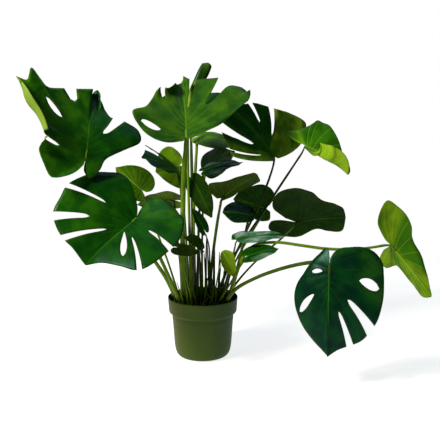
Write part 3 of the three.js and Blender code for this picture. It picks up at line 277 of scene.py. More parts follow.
add_leaf(
    "small_bright", "bright", joint=(68, -74, 386), tip=(113, -92, 295), face=(0.2, -1, 0.2), L=(42, 12, 0),
    R=(60, 12, 0), wave=(3, 2),
    outline_L=[(21, 0), (47, 8), (66, 19), (66, 35), (50, 54), (31, 75), (16, 89), (0, 103)],
    outline_R=[(12, 3), (27, 14), (38, 30), (42, 48), (32, 66), (19, 83), (0, 103)],
    stalk=(38, -40, 4, 2.5), way=[(50, -50, 280), (62, -66, 352)], stalk_look="bright",
    look=dict(upper=((90, 160, 2), (150, 240, 3))),
)
add_leaf(
    "small_olive", "olive", joint=(-80, -90, 402), tip=(-8, -98, 382), face=(0, -0.6, 0.8), L=(18, 10, 0),
    R=(40, 10, 0), wave=(3, 2), stalk=(-34, -70, 4, 2.5), way=[(-48, -76, 270), (-74, -87, 370)],
    stalk_look="bright", look=dict(upper=((70, 130, 4), (130, 200, 6)), under=((20, 45, 2), (100, 170, 5))),
)
add_leaf(
    "small_dark", "deep", joint=(-5, -55, 392), tip=(-60, -82, 428), face=(0, -0.5, 0.8), L=(17, 10, 0),
    R=(40, 10, 0), wave=(3, 2), stalk=(0, -40, 4, 2.5), way=[(1, -44, 280), (-2, -50, 362)],
    look=dict(upper=((20, 65, 3), (55, 110, 6))),
)
add_leaf(
    "small_point", "deep", joint=(5, -40, 455), tip=(-35, -50, 525), face=(0.5, -0.8, 0.2), L=(22, 10, 0),
    R=(22, 10, 0), wave=(3, 2), stalk=(22, -34, 4, 2.5), way=[(25, -30, 300), (21, -26, 400)],
)
# Its pale bluish second colour is a painted reflection, a glare on the glossy blade.
add_leaf(
    "centre_right", "deep", joint=(5, 40, 645), tip=(135, 60, 670), face=(0, -0.2, 1), L=(60, 5, -15),
    R=(60, 5, -15), outline=LANCE, stalk=(-18, 12, 7, 4.5),
    way=[(-17, 24, 330), (-12, 38, 500), (-2, 43, 600)], tints=[("B", 0.35, 0.7, 0.4, 0.6)],
    look=dict(second=((10, 70, 35), (140, 260, 180)), rough=0.2, gloss=0.2),
)
add_leaf(
    "centre_right_back", "deep", joint=(10, 150, 640), tip=(110, 165, 700), face=(0, 0.7, 0.7),
    L=(70, 5, -15), R=(70, 5, -15), outline=LANCE, stalk=(-4, 52, 6, 3.5),
    way=[(-4, 74, 330), (-2, 108, 480), (4, 138, 600)],
)
add_leaf(
    "centre_right_bright", "bright", joint=(-15, 80, 760), tip=(155, 60, 725), face=(0, -0.45, 0.9),
    L=(42, 5, -15), R=(62, 5, -15), outline=LANCE, stalk=(-36, 4, 9, 5.5),
    way=[(-34, 18, 360), (-30, 44, 540), (-22, 70, 700)], tints=[("L", 0.1, 0.9, 0.3, 0.5)],
    stalk_look="bright",
)
add_leaf(
    "centre_left", "deep", joint=(-88, 40, 645), tip=(-203, 10, 692), face=(0, -0.35, 1), L=(80, 5, -15),
    R=(75, 5, -15), outline_L=[(20, 2), (50, 14), (70, 36), (68, 62), (40, 85), (12, 97), (0, 103)],
    outline_R=[(25, 0), (60, 8), (86, 30), (98, 56), (120, 76), (130, 94), (80, 94), (35, 98), (0, 103)],
    cuts=[("R", 0.7, 0.35, 1, 0.08)], stalk=(-58, 14, 8, 4.5),
    way=[(-62, 22, 330), (-70, 32, 480), (-78, 38, 600)],
)
add_leaf(
    "centre_left_bright", "olive", joint=(-85, 130, 655), tip=(-170, 150, 630), face=(0, 0.95, 0.3),
    L=(80, 5, -15), R=(90, 5, -15), stalk=(-52, 44, 7, 3.5),
    way=[(-56, 60, 330), (-66, 88, 480), (-80, 114, 610)], stalk_look="bright",
    look=dict(under=((55, 125, 1), (130, 270, 4))),
)
add_leaf(
    "left_back_bright", "bright", joint=(-215, 60, 575), tip=(-300, 60, 650), face=(0, -0.9, 0.4),
    L=(50, 15, 0), R=(66, 15, 0), stalk=(-84, 22, 6, 3.5),
    way=[(-112, 32, 290), (-155, 48, 410), (-198, 62, 530)], tints=[("B", 0.1, 1, 0, 0.55)],
    stalk_look="bright", look=dict(second=((15, 60, 2), (30, 90, 3))),
)
add_leaf(
    "left_back_olive", "olive", joint=(-105, 120, 530), tip=(-235, 110, 515), face=(0, 0.5, 0.8),
    L=(80, 5, -15), R=(80, 5, -15), stalk=(-76, 52, 6, 3.5),
    way=[(-82, 66, 300), (-94, 88, 420), (-102, 108, 495)],
    look=dict(under=((25, 55, 1), (70, 120, 3)), gloss=0.02),
)
add_leaf(
    "under_band", "olive", joint=(65, -40, 560), tip=(180, -60, 640), face=(-0.15, 0.6, 0.75),
    L=(90, 5, -15), R=(90, 5, -15), arch=15,
    outline_L=[(14, -6), (30, 14), (33, 35), (40, 51), (49, 71), (47, 95), (0, 103)],
    outline_R=[(17, -8), (77, -6), (112, 4), (104, 20), (67, 42), (44, 71), (28, 98), (0, 103)],
    stalk=(20, -10, 8, 5), way=[(32, -18, 330), (50, -32, 470), (60, -42, 530)],
)
add_leaf(
    "centre_drop", "deep", joint=(-34, 18, 618), tip=(30, 10, 490), face=(0.3, -1, 0), L=(38, 15, -15),
    R=(38, 15, -15), arch=10, wave=(3, 2), outline=LANCE, stalk=(-34, -12, 5, 3),
    way=[(-36, -6, 330), (-37, 10, 480), (-38, 24, 590)], look=dict(upper=((6, 25, 2), (20, 50, 3))),
)
add_leaf(
    "top_back", "mid", joint=(-45, 165, 810), tip=(-50, 235, 915), face=(0, -0.6, 0.8), L=(110, 5, -15),
    R=(110, 5, -15), arch=15,
    outline_L=[(16, -14), (42, -13), (68, 4), (90, 29), (100, 60), (90, 85), (59, 92), (26, 100), (0, 103)],
    outline_R=[(20, -9), (47, 7), (71, 29), (91, 57), (104, 80), (102, 90), (70, 95), (33, 101), (0, 103)],
    stalk=(-30, 36, 8, 5.5), way=[(-32, 56, 360), (-38, 98, 540), (-43, 144, 720)],
    look=dict(upper=((2, 30, 6), (4, 40, 8))),
)

# ---------------------------------------------------------------- what else grows in the pot

ROLL = dict(
    stalk=(-34, -44, 9, 4.5), way=[(-40, -36, 330), (-45, -16, 500), (-49, 10, 680), (-50, 36, 800)],
    axis=[(-49, 50, 858), (-41, 64, 902), (-21, 78, 942), (19, 90, 1008)],
    inner=5, gap=6, turns=1.8, slim=0.5, swell=0.95, span=0.62, ruffle=0.14, dip=5, seat=0.25, step=4,
    sides=90,
    look=dict(
        upper=((8, 35, 2), (30, 70, 3)), second=((100, 200, 10), (160, 280, 20)),
        under=((20, 60, 3), (50, 100, 4)), under_second=(160, 280, 20),
    ),
)

STEMS = [
    dict(name="stem_centre", radius=10, foot=(-6, -14), top=(-4, -17, 252),
         roots=[(225, (-6, -62)), (236, (-16, -36))]),
    dict(name="stem_right", radius=8, foot=(60, -12), top=(64, -12, 240), roots=[(215, (38, -14))]),
]
TRUNK_SIDES = 20
TRUNK_STEP = 2.5
ROOT_RADIUS = 2.2
ROOT_SIDES = 10

# Young stalks, stubs and thin roots that stand in the soil: where, how far they lean, how high they
# reach over the soil, their radius and their colours.
STRANDS = [
    (16, -48, -10, 4, 190, 5.5, "dark"), (26, -54, 8, -8, 150, 5, "dark"),
    (6, -64, 12, -6, 110, 4.5, "olive"), (36, -58, -10, 6, 165, 5, "dark"),
    (30, -76, 10, -4, 90, 3.5, "olive"), (50, -46, 14, 4, 150, 5, "dark"),
    (10, -30, 4, 10, 250, 5, "dark"), (-18, -60, 2, 2, 190, 6, "dark"),
    (-20, -74, -18, -6, 105, 3.5, "olive"), (-48, -66, -16, -4, 130, 5, "bright"),
    (-84, -40, -26, -8, 50, 3.6, "dark"), (-62, -76, -24, -4, 100, 3.6, "bright"),
    (64, -68, 18, -6, 95, 3.4, "olive"), (76, -16, 24, 6, 120, 4.5, "dark"),
    (38, -22, 4, 8, 230, 5.5, "dark"), (2, -46, 44, -20, 74, 1.6, "root"),
    (50, -82, -38, -2, 66, 1.4, "root"), (-8, -86, 34, 4, 50, 1.4, "root"),
    (18, -90, 26, 2, 62, 1.6, "olive"), (42, -92, 10, 6, 78, 1.8, "olive"),
    (24, -36, -8, 12, 230, 5, "olive"), (56, -34, 2, 10, 190, 5.5, "dark"),
    (-4, -40, -8, 6, 230, 5.5, "olive"), (68, -40, 10, 8, 170, 4.5, "olive"),
]
# Roots that lie on the soil, each a row of points: where, and how high over the soil.
SURFACE_ROOTS = [
    [(-30, -88, -2), (-22, -90, 1.5), (-8, -86, 2), (8, -90, 1.5), (22, -96, -3)],
    [(-14, -70, -2), (-4, -76, 2), (4, -90, 1.5), (2, -100, -3)],
    [(16, -78, -2), (24, -84, 2), (36, -86, 1.5), (46, -92, -3)],
    [(-40, -84, -2), (-28, -80, 2), (-14, -84, 1.5), (-2, -98, -3)],
]

# ---------------------------------------------------------------- colours

WHITE = (1000, 1000, 1000)
DRY_EDGE = (100, 50, 8)
# Painted light and shade on the pot: the first colour is its lit left side and its cloudy patches, the third
# its shaded right side.
POT_LIT_AND_CLOUDY = (55, 75, 4)
POT_GREEN = (30, 60, 6)
POT_SHADED = (20, 48, 10)
POT_DUST = (70, 100, 20)
SOIL_COLOURS = ((60, 28, 11), (240, 115, 50))
BARK_COLOURS = ((30, 8, 3), (130, 40, 15))

# Each look is one leaf green with painted light and shade in it: bright for lit and backlit leaves, deep for
# leaves in shade, mid and olive between them. In deep and olive the second colour is a painted lit patch, in
# mid and bright a painted shaded one.
LOOKS = {
    "deep": dict(
        upper=((2, 28, 1), (5, 48, 1.2)), second=((12, 95, 1.5), (40, 170, 2)),
        under=((8, 30, 2), (15, 45, 3)), vein=(30, 130, 6), glare=(400, 900, 800),
        veins=0.22, rib=0.7, dry=0.5, rough=0.3, gloss=0.09,
    ),
    "mid": dict(
        upper=((12, 55, 2), (30, 90, 2)), second=((6, 35, 2), (12, 60, 2)),
        under=((12, 40, 2), (20, 55, 2)), vein=(70, 170, 6), glare=(500, 900, 600),
        veins=0.5, rib=0.8, dry=0.4, rough=0.42, gloss=0.08,
    ),
    "olive": dict(
        upper=((30, 70, 2), (50, 100, 3)), second=((70, 150, 3), (100, 200, 4)),
        under=((20, 45, 2), (35, 65, 2)), vein=(80, 160, 10), glare=(500, 900, 600),
        veins=0.4, rib=0.8, dry=0.4, rough=0.42, gloss=0.08,
    ),
    "bright": dict(
        upper=((50, 140, 2), (100, 230, 3)), second=((10, 70, 1), (20, 120, 2)),
        under=((70, 140, 3), (120, 220, 4)), vein=(200, 380, 20), glare=(600, 900, 500),
        veins=0.45, rib=0.8, dry=0.5, rough=0.38, gloss=0.1,
    ),
}

STALKS = {
    "olive": ((45, 75, 4), (20, 50, 2), (80, 130, 8)),
    "bright": ((100, 170, 7), (70, 150, 5), (200, 300, 30)),
    "dark": ((12, 30, 2), (6, 24, 1), (30, 60, 4)),
    "stem": ((50, 30, 8), (70, 50, 12), (100, 80, 20)),
    "root": ((160, 100, 40), (120, 70, 25), (200, 130, 60)),
}

# ---------------------------------------------------------------- the stage, in metres

CAMERA_PLACE = (0.06, -2.3, 0.87)
CAMERA_PITCH = -9.65
CAMERA_LENS = 55.64
CAMERA_SENSOR = 36
LIGHTS = [  # name, place, aim, size, power and colour
    ("key", (-2.2, -1.8, 2.8), (0, 0, 0.6), 0.8, 230, (1, 0.96, 0.8)),
    ("fill", (2.6, -2.2, 1.4), (0.1, 0, 0.5), 2.2, 5, (0.75, 0.9, 1)),
    ("sky", (0.3, 0.9, 3.0), (0.1, 0, 0.5), 2.4, 16, (0.5, 0.75, 1)),
]
SKY_LIGHT = (40, 50, 50)
FLOOR_RADIUS = 1.5
FLOOR_SIDES = 128
FLOOR_LEVEL = -0.0004
FLOOR_GREY = (500, 500, 500)
FLOOR_GLOW = 0.8


# ---------------------------------------------------------------- the form of a leaf


def smooth(low, high, value):
    """0 under low, 1 over high and smooth between them."""
    share = np.clip((value - low) / (high - low), 0, 1)
    return share * share * (3 - 2 * share)


def unit(vector):
    return vector / np.linalg.norm(vector, axis=-1, keepdims=True)


def outline_at(outline, t):
    """The outline's points at t, from 0 at the notch to 1 at the tip, on a smooth curve."""
    points = np.array(outline, float) / 100
    last = len(points) - 1
    place = np.clip(np.asarray(t) * last, 0, last - 1e-9)
    i = np.floor(place).astype(int)
    f = (place - i)[..., None]
    a, b, c, d = (points[np.clip(i + k, 0, last)] for k in (-1, 0, 1, 2))
    return 0.5 * (2 * b + (c - a) * f + (2 * a - 5 * b + 4 * c - d) * f**2 + (3 * b - a - 3 * c + d) * f**3)


def vein_start(t):
    return VEIN_END * np.clip((t - BASAL_SHARE) / (1 - BASAL_SHARE), 0, 1)


class Midrib:
    """The leaf's midrib, an arc from the joint to the tip, and the axes of the blade along it."""

    def __init__(self, leaf):
        self.joint = np.array(leaf["joint"], float)
        chord = np.array(leaf["tip"], float) - self.joint
        self.along = unit(chord)
        face = np.array(leaf["face"], float)
        self.up = unit(face - self.along * (face @ self.along))
        self.across = np.cross(self.along, self.up)
        self.arch = math.radians(leaf["arch"])
        self.length = np.linalg.norm(chord) * (self.arch / 2) / math.sin(self.arch / 2)

    def at(self, v):
        """The point, the way forward and the way up at the share v of the midrib."""
        half = self.arch / 2
        angle = half - self.arch * np.asarray(v, float)[..., None]
        radius = self.length / self.arch
        point = self.joint + self.along * radius * (math.sin(half) - np.sin(angle))
        point = point + self.up * radius * (np.cos(angle) - math.cos(half))
        forward = self.along * np.cos(angle) + self.up * np.sin(angle)
        return point, forward, self.up * np.cos(angle) - self.along * np.sin(angle)


def reach_of(leaf, half, rib, t):
    """From the side vein's start to the margin, on the flattened blade."""
    shape = outline_at(leaf.get("outline_" + half, leaf["outline"]), t)
    return np.stack([shape[..., 0] * leaf[half][0], (shape[..., 1] - vein_start(t)) * rib.length], -1)


def bowed(reach, t, k):
    """The side vein's point at the share k of its length, on the flattened blade."""
    bow = VEIN_BOW * np.clip(np.minimum(t, 1 - t) / BASAL_SHARE, 0, 1) * 2 * k * (1 - k)
    x, y = reach[..., 0], reach[..., 1]
    return np.stack([x * k + bow * y, y * k - bow * x], -1)


def turn_at(leaf, half, t, s):
    """How far the blade is bent out of its plane at s on the side vein, in radians."""
    wave_angle, waves = leaf["wave"]
    phase = 2 * math.pi * waves * t + (WAVE_SHIFT if half == "R" else 0)
    turn = math.radians(leaf[half][2]) * s**CURL_GROWTH + math.radians(wave_angle) * np.sin(phase) * s
    for where, low, high, start, angle in leaf["rolls"]:
        if where == half:
            edge = 0.25 * (high - low)
            window = smooth(low, low + edge, t) * (1 - smooth(high - edge, high, t))
            turn = turn + math.radians(angle) * window * smooth(start, 1, s)
    return turn


def blade_points(leaf, half, rib, t, s):
    """Points of the blade's middle surface at the places t on the outline and s on the side veins."""
    fold = math.radians(leaf[half][1])
    point, forward, above = rib.at(vein_start(t))
    side = rib.across if half == "R" else -rib.across
    out = side * math.cos(fold) + above * math.sin(fold)
    lift = above * math.cos(fold) - side * math.sin(fold)
    reach = reach_of(leaf, half, rib, t)
    for i in range(WALK_STEPS):
        start, end = s * i / WALK_STEPS, s * (i + 1) / WALK_STEPS
        step = bowed(reach, t, end) - bowed(reach, t, start)
        turn = turn_at(leaf, half, t, (start + end) / 2)
        point = point + (out * step[:, :1] + forward * step[:, 1:]) * np.cos(turn)[:, None]
        point = point + lift * (np.linalg.norm(step, axis=-1) * np.sin(turn))[:, None]
    return point


def cut_width(s, start, end, is_open):
    """How wide a cut is at s, as a share of its full width: rounded at its inner end."""
    q = (s - start) / (end - start)
    if q <= 0 or q > 1:
        return 0
    if not is_open:
        return math.sin(math.pi * q) ** HOLE_BLUNTNESS
    rounding = math.sqrt(1 - (1 - min(q / SLIT_ROUND, 1)) ** 2)
    return rounding * (SLIT_TAPER + (1 - SLIT_TAPER) * q)


def veins_of(leaf, half):
    """Where the side veins meet the outline: evenly spread between the cuts."""
    stops = [0, *sorted(cut[1] for cut in leaf["cuts"] if cut[0] == half), 1]
    places = []
    for low, high in zip(stops, stops[1:]):
        count = max(1, round((high - low) * VEINS_PER_OUTLINE))
        places += [low + (high - low) * (k + 0.5) / count for k in range(count)]
    return places


def columns_of(leaf):
    """The columns of the blade's grid: one on every cut and vein of both halves, and some between."""
    cuts = [cut[1] for cut in leaf["cuts"]]
    stops = {0, 1, *cuts}
    for place in veins_of(leaf, "L") + veins_of(leaf, "R"):
        stops |= {place - VEIN_HALF_WIDTH, place, place + VEIN_HALF_WIDTH}
    stops = sorted(stops)
    columns = [stops[0]]
    for low, high in zip(stops, stops[1:]):
        if high - low >= 0.002:
            count = max(1, round((high - low) * COLUMNS_PER_OUTLINE))
            columns += [low + (high - low) * (k + 1) / count for k in range(count)]
    for cut in cuts:
        columns[nearest(columns, cut)] = cut
    columns[-1] = 1
    return columns


def nearest(places, wanted):
    return min(range(len(places)), key=lambda i: abs(places[i] - wanted))


def cuts_of(leaf, half):
    """The half's cuts in their order on the outline, each between two of the grid's rows."""
    found = []
    for where, t, start, end, width in leaf["cuts"]:
        if where == half:
            first = nearest(ROWS, start)
            last = len(ROWS) - 1 if end >= 1 else min(max(nearest(ROWS, end), first + 2), len(ROWS) - 2)
            found.append(dict(t=t, first=first, last=last, open=end >= 1, width=width))
    return sorted(found, key=lambda cut: cut["t"])


def gap_at(cut, row):
    return cut["width"] / 2 * cut_width(ROWS[row], ROWS[cut["first"]], ROWS[cut["last"]], cut["open"])


def splits(cut, row):
    return bool(cut["width"]) and row > cut["first"] and (cut["open"] or row < cut["last"])


def blade_grid(leaf):
    """The grid of the blade: each point as (half, t, s, distance to a cut on the outline), and its quads."""
    columns = columns_of(leaf)
    points, quads, known = [], [], {}

    def remember(key, point):
        if key not in known:
            known[key] = len(points)
            points.append(point)
        return known[key]

    for half in "LR":
        ends = [dict(t=t, first=0, last=1, open=False, width=0) for t in (0, 1)]
        bounds = [ends[0], *cuts_of(leaf, half), ends[1]]
        for near, far in zip(bounds, bounds[1:]):
            own = [i for i, t in enumerate(columns) if near["t"] - 1e-9 <= t <= far["t"] + 1e-9]
            grid = []
            for i in own:
                share = (columns[i] - near["t"]) / (far["t"] - near["t"])
                column = []
                for r, s in enumerate(ROWS):
                    low, high = near["t"] + gap_at(near, r), far["t"] - gap_at(far, r)
                    place = low * (1 - share) + high * share
                    beside = min(place - low if splits(near, r) else 1, high - place if splits(far, r) else 1)
                    if r == 0:
                        key = ("M", 0 if columns[i] <= BASAL_SHARE else i)
                    elif i == len(columns) - 1:
                        key = ("T", r)
                    else:
                        edge = "a" if i == own[0] and splits(near, r) else ""
                        key = (half, i, r, "b" if i == own[-1] and splits(far, r) else edge)
                    column.append(remember(key, (half, place, s, beside)))
                grid.append(column)
            for left, right in zip(grid, grid[1:]):
                for r in range(len(ROWS) - 1):
                    quad = list(dict.fromkeys([left[r], right[r], right[r + 1], left[r + 1]]))
                    if len(quad) > 2:
                        quads.append(quad if half == "L" else quad[::-1])
    return points, quads


def flat_facts(leaf, half, rib, t, s, beside):
    """Where a point lies on the flattened blade, and how far it is from a vein, the midrib and an edge."""
    reach = reach_of(leaf, half, rib, t)
    place = bowed(reach, t, s)
    x, y = place[:, 0], place[:, 1] + vein_start(t) * rib.length
    after, before = np.clip(t + 1e-3, 0, 1), np.clip(t - 1e-3, 0, 1)
    change = (reach_of(leaf, half, rib, after) - reach_of(leaf, half, rib, before)) * s[:, None]
    change[:, 1] += (vein_start(after) - vein_start(before)) * rib.length
    change /= (after - before)[:, None]
    length = np.maximum(np.linalg.norm(reach, axis=-1), 1e-6)
    speed = np.abs(change[:, 0] * reach[:, 1] - change[:, 1] * reach[:, 0]) / length
    vein = np.abs(t[:, None] - np.array(veins_of(leaf, half))).min(-1) * speed
    middle = np.where(y > 0, np.abs(x), np.hypot(x, y))
    edge = np.minimum((1 - s) * length, beside * speed)
    return np.stack([x if half == "R" else -x, y, vein, middle, edge], -1)


def tint_of(leaf, half, t, s):
    """How far the second colour, which is painted light and shade, shows, from 0 to 1, by the leaf's list of
    places.
    """
    amount = np.zeros_like(t)
    for where, low, high, start, share in leaf["tints"]:
        if where in (half, "B"):
            window = smooth(low - 0.03, low + 0.03, t) * (1 - smooth(high - 0.03, high + 0.03, t))
            amount = np.maximum(amount, share * window * smooth(start - 0.15, start + 0.15, s))
    return amount


def blade_mesh(leaf):
    """The blade, with its ribs, its quilting and its uneven surface."""
    rib = Midrib(leaf)
    grid, quads = blade_grid(leaf)
    half = np.array([g[0] for g in grid])
    t, s, beside = (np.array([g[k] for g in grid], float) for k in (1, 2, 3))
    surface, facts, tint = np.zeros((len(grid), 3)), np.zeros((len(grid), 5)), np.zeros(len(grid))
    for name in "LR":
        own = half == name
        surface[own] = blade_points(leaf, name, rib, t[own], s[own])
        facts[own] = flat_facts(leaf, name, rib, t[own], s[own], beside[own])
        tint[own] = tint_of(leaf, name, t[own], s[own])
    x, y, vein, middle, _ = facts.T

    spots = [Vector((a, b, 7 * leaf["joint"][0])) / UNEVEN_SIZE for a, b in zip(x, y)]
    uneven = UNEVENNESS * np.array([noise.noise(spot) for spot in spots]) * smooth(0, 60, middle)
    groove = QUILT_DEPTH * np.exp(-((vein / QUILT_WIDTH) ** 2)) * smooth(0, 25, middle) * (1 - 0.6 * s)
    surface += point_normals(surface, quads) * (uneven - groove)[:, None]
    height = RIB_HEIGHT + (RIB_HEIGHT_TIP - RIB_HEIGHT) * np.clip(y / rib.length, 0, 1)
    ridge = height * np.exp(-((middle / RIB_WIDTH) ** 2))
    side_ridge = SIDE_RIB_HEIGHT * (1 - 0.75 * s) * (vein < 0.05) * (s > 0)
    up = BLADE_THICKNESS / 2 - 0.25 * side_ridge
    down = BLADE_THICKNESS / 2 + min(1, rib.length / 150) * (ridge + side_ridge)
    flat = np.stack([x, y, 0 * x], -1)
    return sheet(surface, quads, up, down, flat, facts[:, 2:], tint, s)


def sheet(surface, quads, up, down, flat, lines, tint, out):
    """A thin closed mesh round the surface, with what its material needs to know at each point."""
    count = len(surface)
    normal = point_normals(surface, quads)
    above, below = (normal * np.broadcast_to(height, count)[:, None] for height in (up, down))
    faces = [*quads, *([i + count for i in face[::-1]] for face in quads)]
    edges = {(a, b) for face in quads for a, b in zip(face, face[1:] + face[:1])}
    faces += [[b, a, a + count, b + count] for a, b in sorted(edges) if (b, a) not in edges]
    face = np.stack([np.ones(count), tint, out], -1)
    facts = {
        "flat": np.concatenate([flat, flat]),
        "lines": np.concatenate([lines, lines]),
        "face": np.concatenate([face, face * [0, 1, 1]]),
    }
    return np.concatenate([surface + above, surface - below]), faces, facts


def point_normals(points, faces):
    normals = np.zeros_like(points)
    for size in (3, 4):
        chosen = np.array([face for face in faces if len(face) == size], int)
        if len(chosen):
            one = points[chosen[:, 2]] - points[chosen[:, 0]]
            two = points[chosen[:, -1]] - points[chosen[:, 1]]
            for k in range(size):
                np.add.at(normals, chosen[:, k], np.cross(one, two))
    return unit(np.where(np.abs(normals).sum(-1, keepdims=True) < 1e-12, [0, 0, 1.0], normals))


# ---------------------------------------------------------------- rods: stalks, stems and roots


def curve_through(points, step):
    """A centripetal curve through the points, as points about a step apart and their share of its length."""
    points = np.array(points, float)
    ends = [2 * points[0] - points[1], *points, 2 * points[-1] - points[-2]]
    k = np.linspace(0, 1, 40, endpoint=False)[:, None]
    dense = []
    for p0, p1, p2, p3 in zip(ends, ends[1:], ends[2:], ends[3:]):
        d0, d1, d2 = (max(np.linalg.norm(b - a) ** 0.5, 1e-3) for a, b in ((p0, p1), (p1, p2), (p2, p3)))
        leave = ((p1 - p0) / d0 - (p2 - p0) / (d0 + d1) + (p2 - p1) / d1) * d1
        arrive = ((p2 - p1) / d1 - (p3 - p1) / (d1 + d2) + (p3 - p2) / d2) * d1
        bend = (k**3 - 2 * k**2 + k) * leave + (k**3 - k**2) * arrive
        dense.append((2 * k**3 - 3 * k**2 + 1) * p1 + (3 * k**2 - 2 * k**3) * p2 + bend)
    dense = np.concatenate([*dense, [points[-1]]])
    run = np.concatenate([[0], np.cumsum(np.linalg.norm(np.diff(dense, axis=0), axis=1))])
    share = np.linspace(0, 1, max(6, round(run[-1] / step)) + 1)
    spaced = np.stack([np.interp(share * run[-1], run, dense[:, axis]) for axis in range(3)], -1)
    return spaced, share, run[-1]


def rod_mesh(way, radius_at, sides, step, inward, groove):
    """A closed rod along the way. Its side that looks inward is sunk by groove(share) of the radius."""
    centres, share, length = curve_through(way, step)
    tangents = unit(np.gradient(centres, axis=0))
    side = np.array(inward, float)
    rings, facts = [], []
    for centre, tangent, k in zip(centres, tangents, share):
        side = unit(side - tangent * (side @ tangent))
        other = np.cross(tangent, side)
        for angle in (2 * math.pi * i / sides for i in range(sides)):
            turned = (angle + math.pi) % (2 * math.pi) - math.pi
            radius = radius_at(k) * (1 - groove(k) * math.exp(-((turned / 0.7) ** 2)))
            rings.append(centre + radius * (side * math.cos(angle) + other * math.sin(angle)))
            facts.append((k * length, angle, k))
    last = len(rings) - sides
    faces = []
    for low in range(0, last, sides):
        faces += [[low + i, low + after, low + sides + after, low + sides + i]
                  for i, after in enumerate([*range(1, sides), 0])]
    faces += [list(range(sides))[::-1], [last + i for i in range(sides)]]
    return np.array(rings), faces, {"rod": np.array(facts)}


def foot_points(x, y):
    """The points of a stalk's or root's upright foot in the soil."""
    bottom = SOIL_TOP - HOLE_DEPTH + CLEARANCE
    return [(x, y, bottom), (x, y, bottom + HOLE_DEPTH / 2), (x, y, SOIL_TOP + 2 * SOIL_BUMP)]


def stalk_radius(stalk, share):
    """A sheath at the foot, then the stalk's own radius, a swollen knee and a narrow end at the joint."""
    foot_radius, radius = stalk[2:]
    sheath = (foot_radius - radius) * max(1 - share / SHEATH_LENGTH, 0) ** SHEATH_TAPER
    narrowing = 1 - (1 - STALK_END_RADIUS) * min(max((share - STALK_NARROWS) / (1 - STALK_NARROWS), 0), 1)
    knee = 1 + 0.22 * math.exp(-(((share - 0.93) / 0.025) ** 2))
    return (radius + sheath) * narrowing * knee


def stalk_way(leaf):
    """The stalk's way from its foot in the soil to the blade, as the solid's."""
    rib = Midrib(leaf)
    start, forward, above = rib.at(0.0)
    end = [start]
    if (start - leaf["way"][-1]) @ forward >= 0:
        point, _, over = rib.at(STALK_END_SHARE)
        end = [start - above * (STALK_END_DROP + 1), point - over * STALK_END_DROP]
    return [*foot_points(*leaf["stalk"][:2]), *leaf["way"], *end]


# ---------------------------------------------------------------- Blender objects


def new_object(name, points, faces, facts=None, smooth_shading=True):
    """An object with the mesh in metres and its facts as attributes of its points."""
    mesh = bpy.data.meshes.new(name)
    mesh.from_pydata((np.asarray(points) * MM).tolist(), [], [list(map(int, face)) for face in faces])
    for key, values in (facts or {}).items():
        attribute = mesh.attributes.new(key, "FLOAT_VECTOR", "POINT")
        attribute.data.foreach_set("vector", np.asarray(values, np.float32).ravel())
    mesh.polygons.foreach_set("use_smooth", [smooth_shading] * len(mesh.polygons))
    mesh.validate()
    made = bpy.data.objects.new(name, mesh)
    bpy.context.scene.collection.objects.link(made)
    return made


def finished(piece, material, slot, *nodes):
    """The piece takes its material, rides on the one body and stands for its nodes. Its slot is not used."""
    piece.data.materials.clear()
    piece.data.materials.append(material)
    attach(piece, BODY)
    if nodes:
        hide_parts(*nodes)


def make_rod(name, way, radius_at, size, colours, *nodes, inward=(1, 0, 0), groove=lambda share: 0):
    """A stalk, stem or root along the way. size is its number of sides and the step between its rings."""
    rod = new_object(name, *rod_mesh(way, radius_at, *size, inward, groove))
    finished(rod, rod_material(name + "_skin", *STALKS[colours]), "stem", *nodes)


# ---------------------------------------------------------------- materials


class Nodes:
    """A node tree, with short calls to make and join its nodes."""

    def __init__(self, tree):
        self.tree = tree
        tree.nodes.clear()

    def give(self, socket, value):
        """Links a node's output to the socket, or sets a number, a direction or a colour on it."""
        if isinstance(value, bpy.types.NodeSocket):
            self.tree.links.new(value, socket)
        elif socket.type == "RGBA":
            socket.default_value = (*(share / 1000 for share in value), 1)
        else:
            socket.default_value = value

    def add(self, kind, *values, **settings):
        """A node of the kind with its settings, and its first inputs in their order."""
        node = self.tree.nodes.new("ShaderNode" + kind)
        for name, value in settings.items():
            setattr(node, name, value)
        for index, value in enumerate(values):
            self.give(node.inputs[index], value)
        return node

    def attribute(self, name):
        """A mesh attribute, whole and as its three numbers."""
        vector = self.add("Attribute", attribute_name=name).outputs["Vector"]
        return vector, *self.add("SeparateXYZ", vector).outputs

    def math(self, operation, first, second):
        return self.add("Math", first, second, operation=operation).outputs[0]

    def ramp(self, value, low, high, start=0, end=1):
        """start where the value is under low, end where it is over high, and smooth between them."""
        node = self.add("MapRange", value, low, high, start, end, interpolation_type="SMOOTHSTEP")
        return node.outputs[0]

    def mix(self, share, first, second):
        node = self.add("Mix", share, data_type="RGBA")
        self.give(node.inputs[6], first)
        self.give(node.inputs[7], second)
        return node.outputs[2]

    def noise(self, vector, scale, detail, stretch=None):
        if stretch:
            vector = self.add("VectorMath", vector, stretch, operation="MULTIPLY").outputs[0]
        node = self.add("TexNoise", vector)
        self.give(node.inputs["Scale"], scale)
        self.give(node.inputs["Detail"], detail)
        return node.outputs["Fac"]


class Skin(Nodes):
    """The nodes of a material with one plain surface shader."""

    def __init__(self, name):
        self.material = bpy.data.materials.new(name)
        self.material.use_nodes = True
        super().__init__(self.material.node_tree)
        self.surface = self.add("BsdfPrincipled")
        self.add("OutputMaterial", self.surface.outputs["BSDF"])

    def made(self, height=None, strength=0, distance=0, **values):
        """The material, once its surface has its values and, where a height is given, its bump."""
        for name, value in values.items():
            self.give(self.surface.inputs[name.replace("_", " ")], value)
        if height:
            bump = self.add("Bump")
            for name, value in (("Strength", strength), ("Distance", distance), ("Height", height)):
                self.give(bump.inputs[name], value)
            self.give(self.surface.inputs["Normal"], bump.outputs[0])
        return self.material


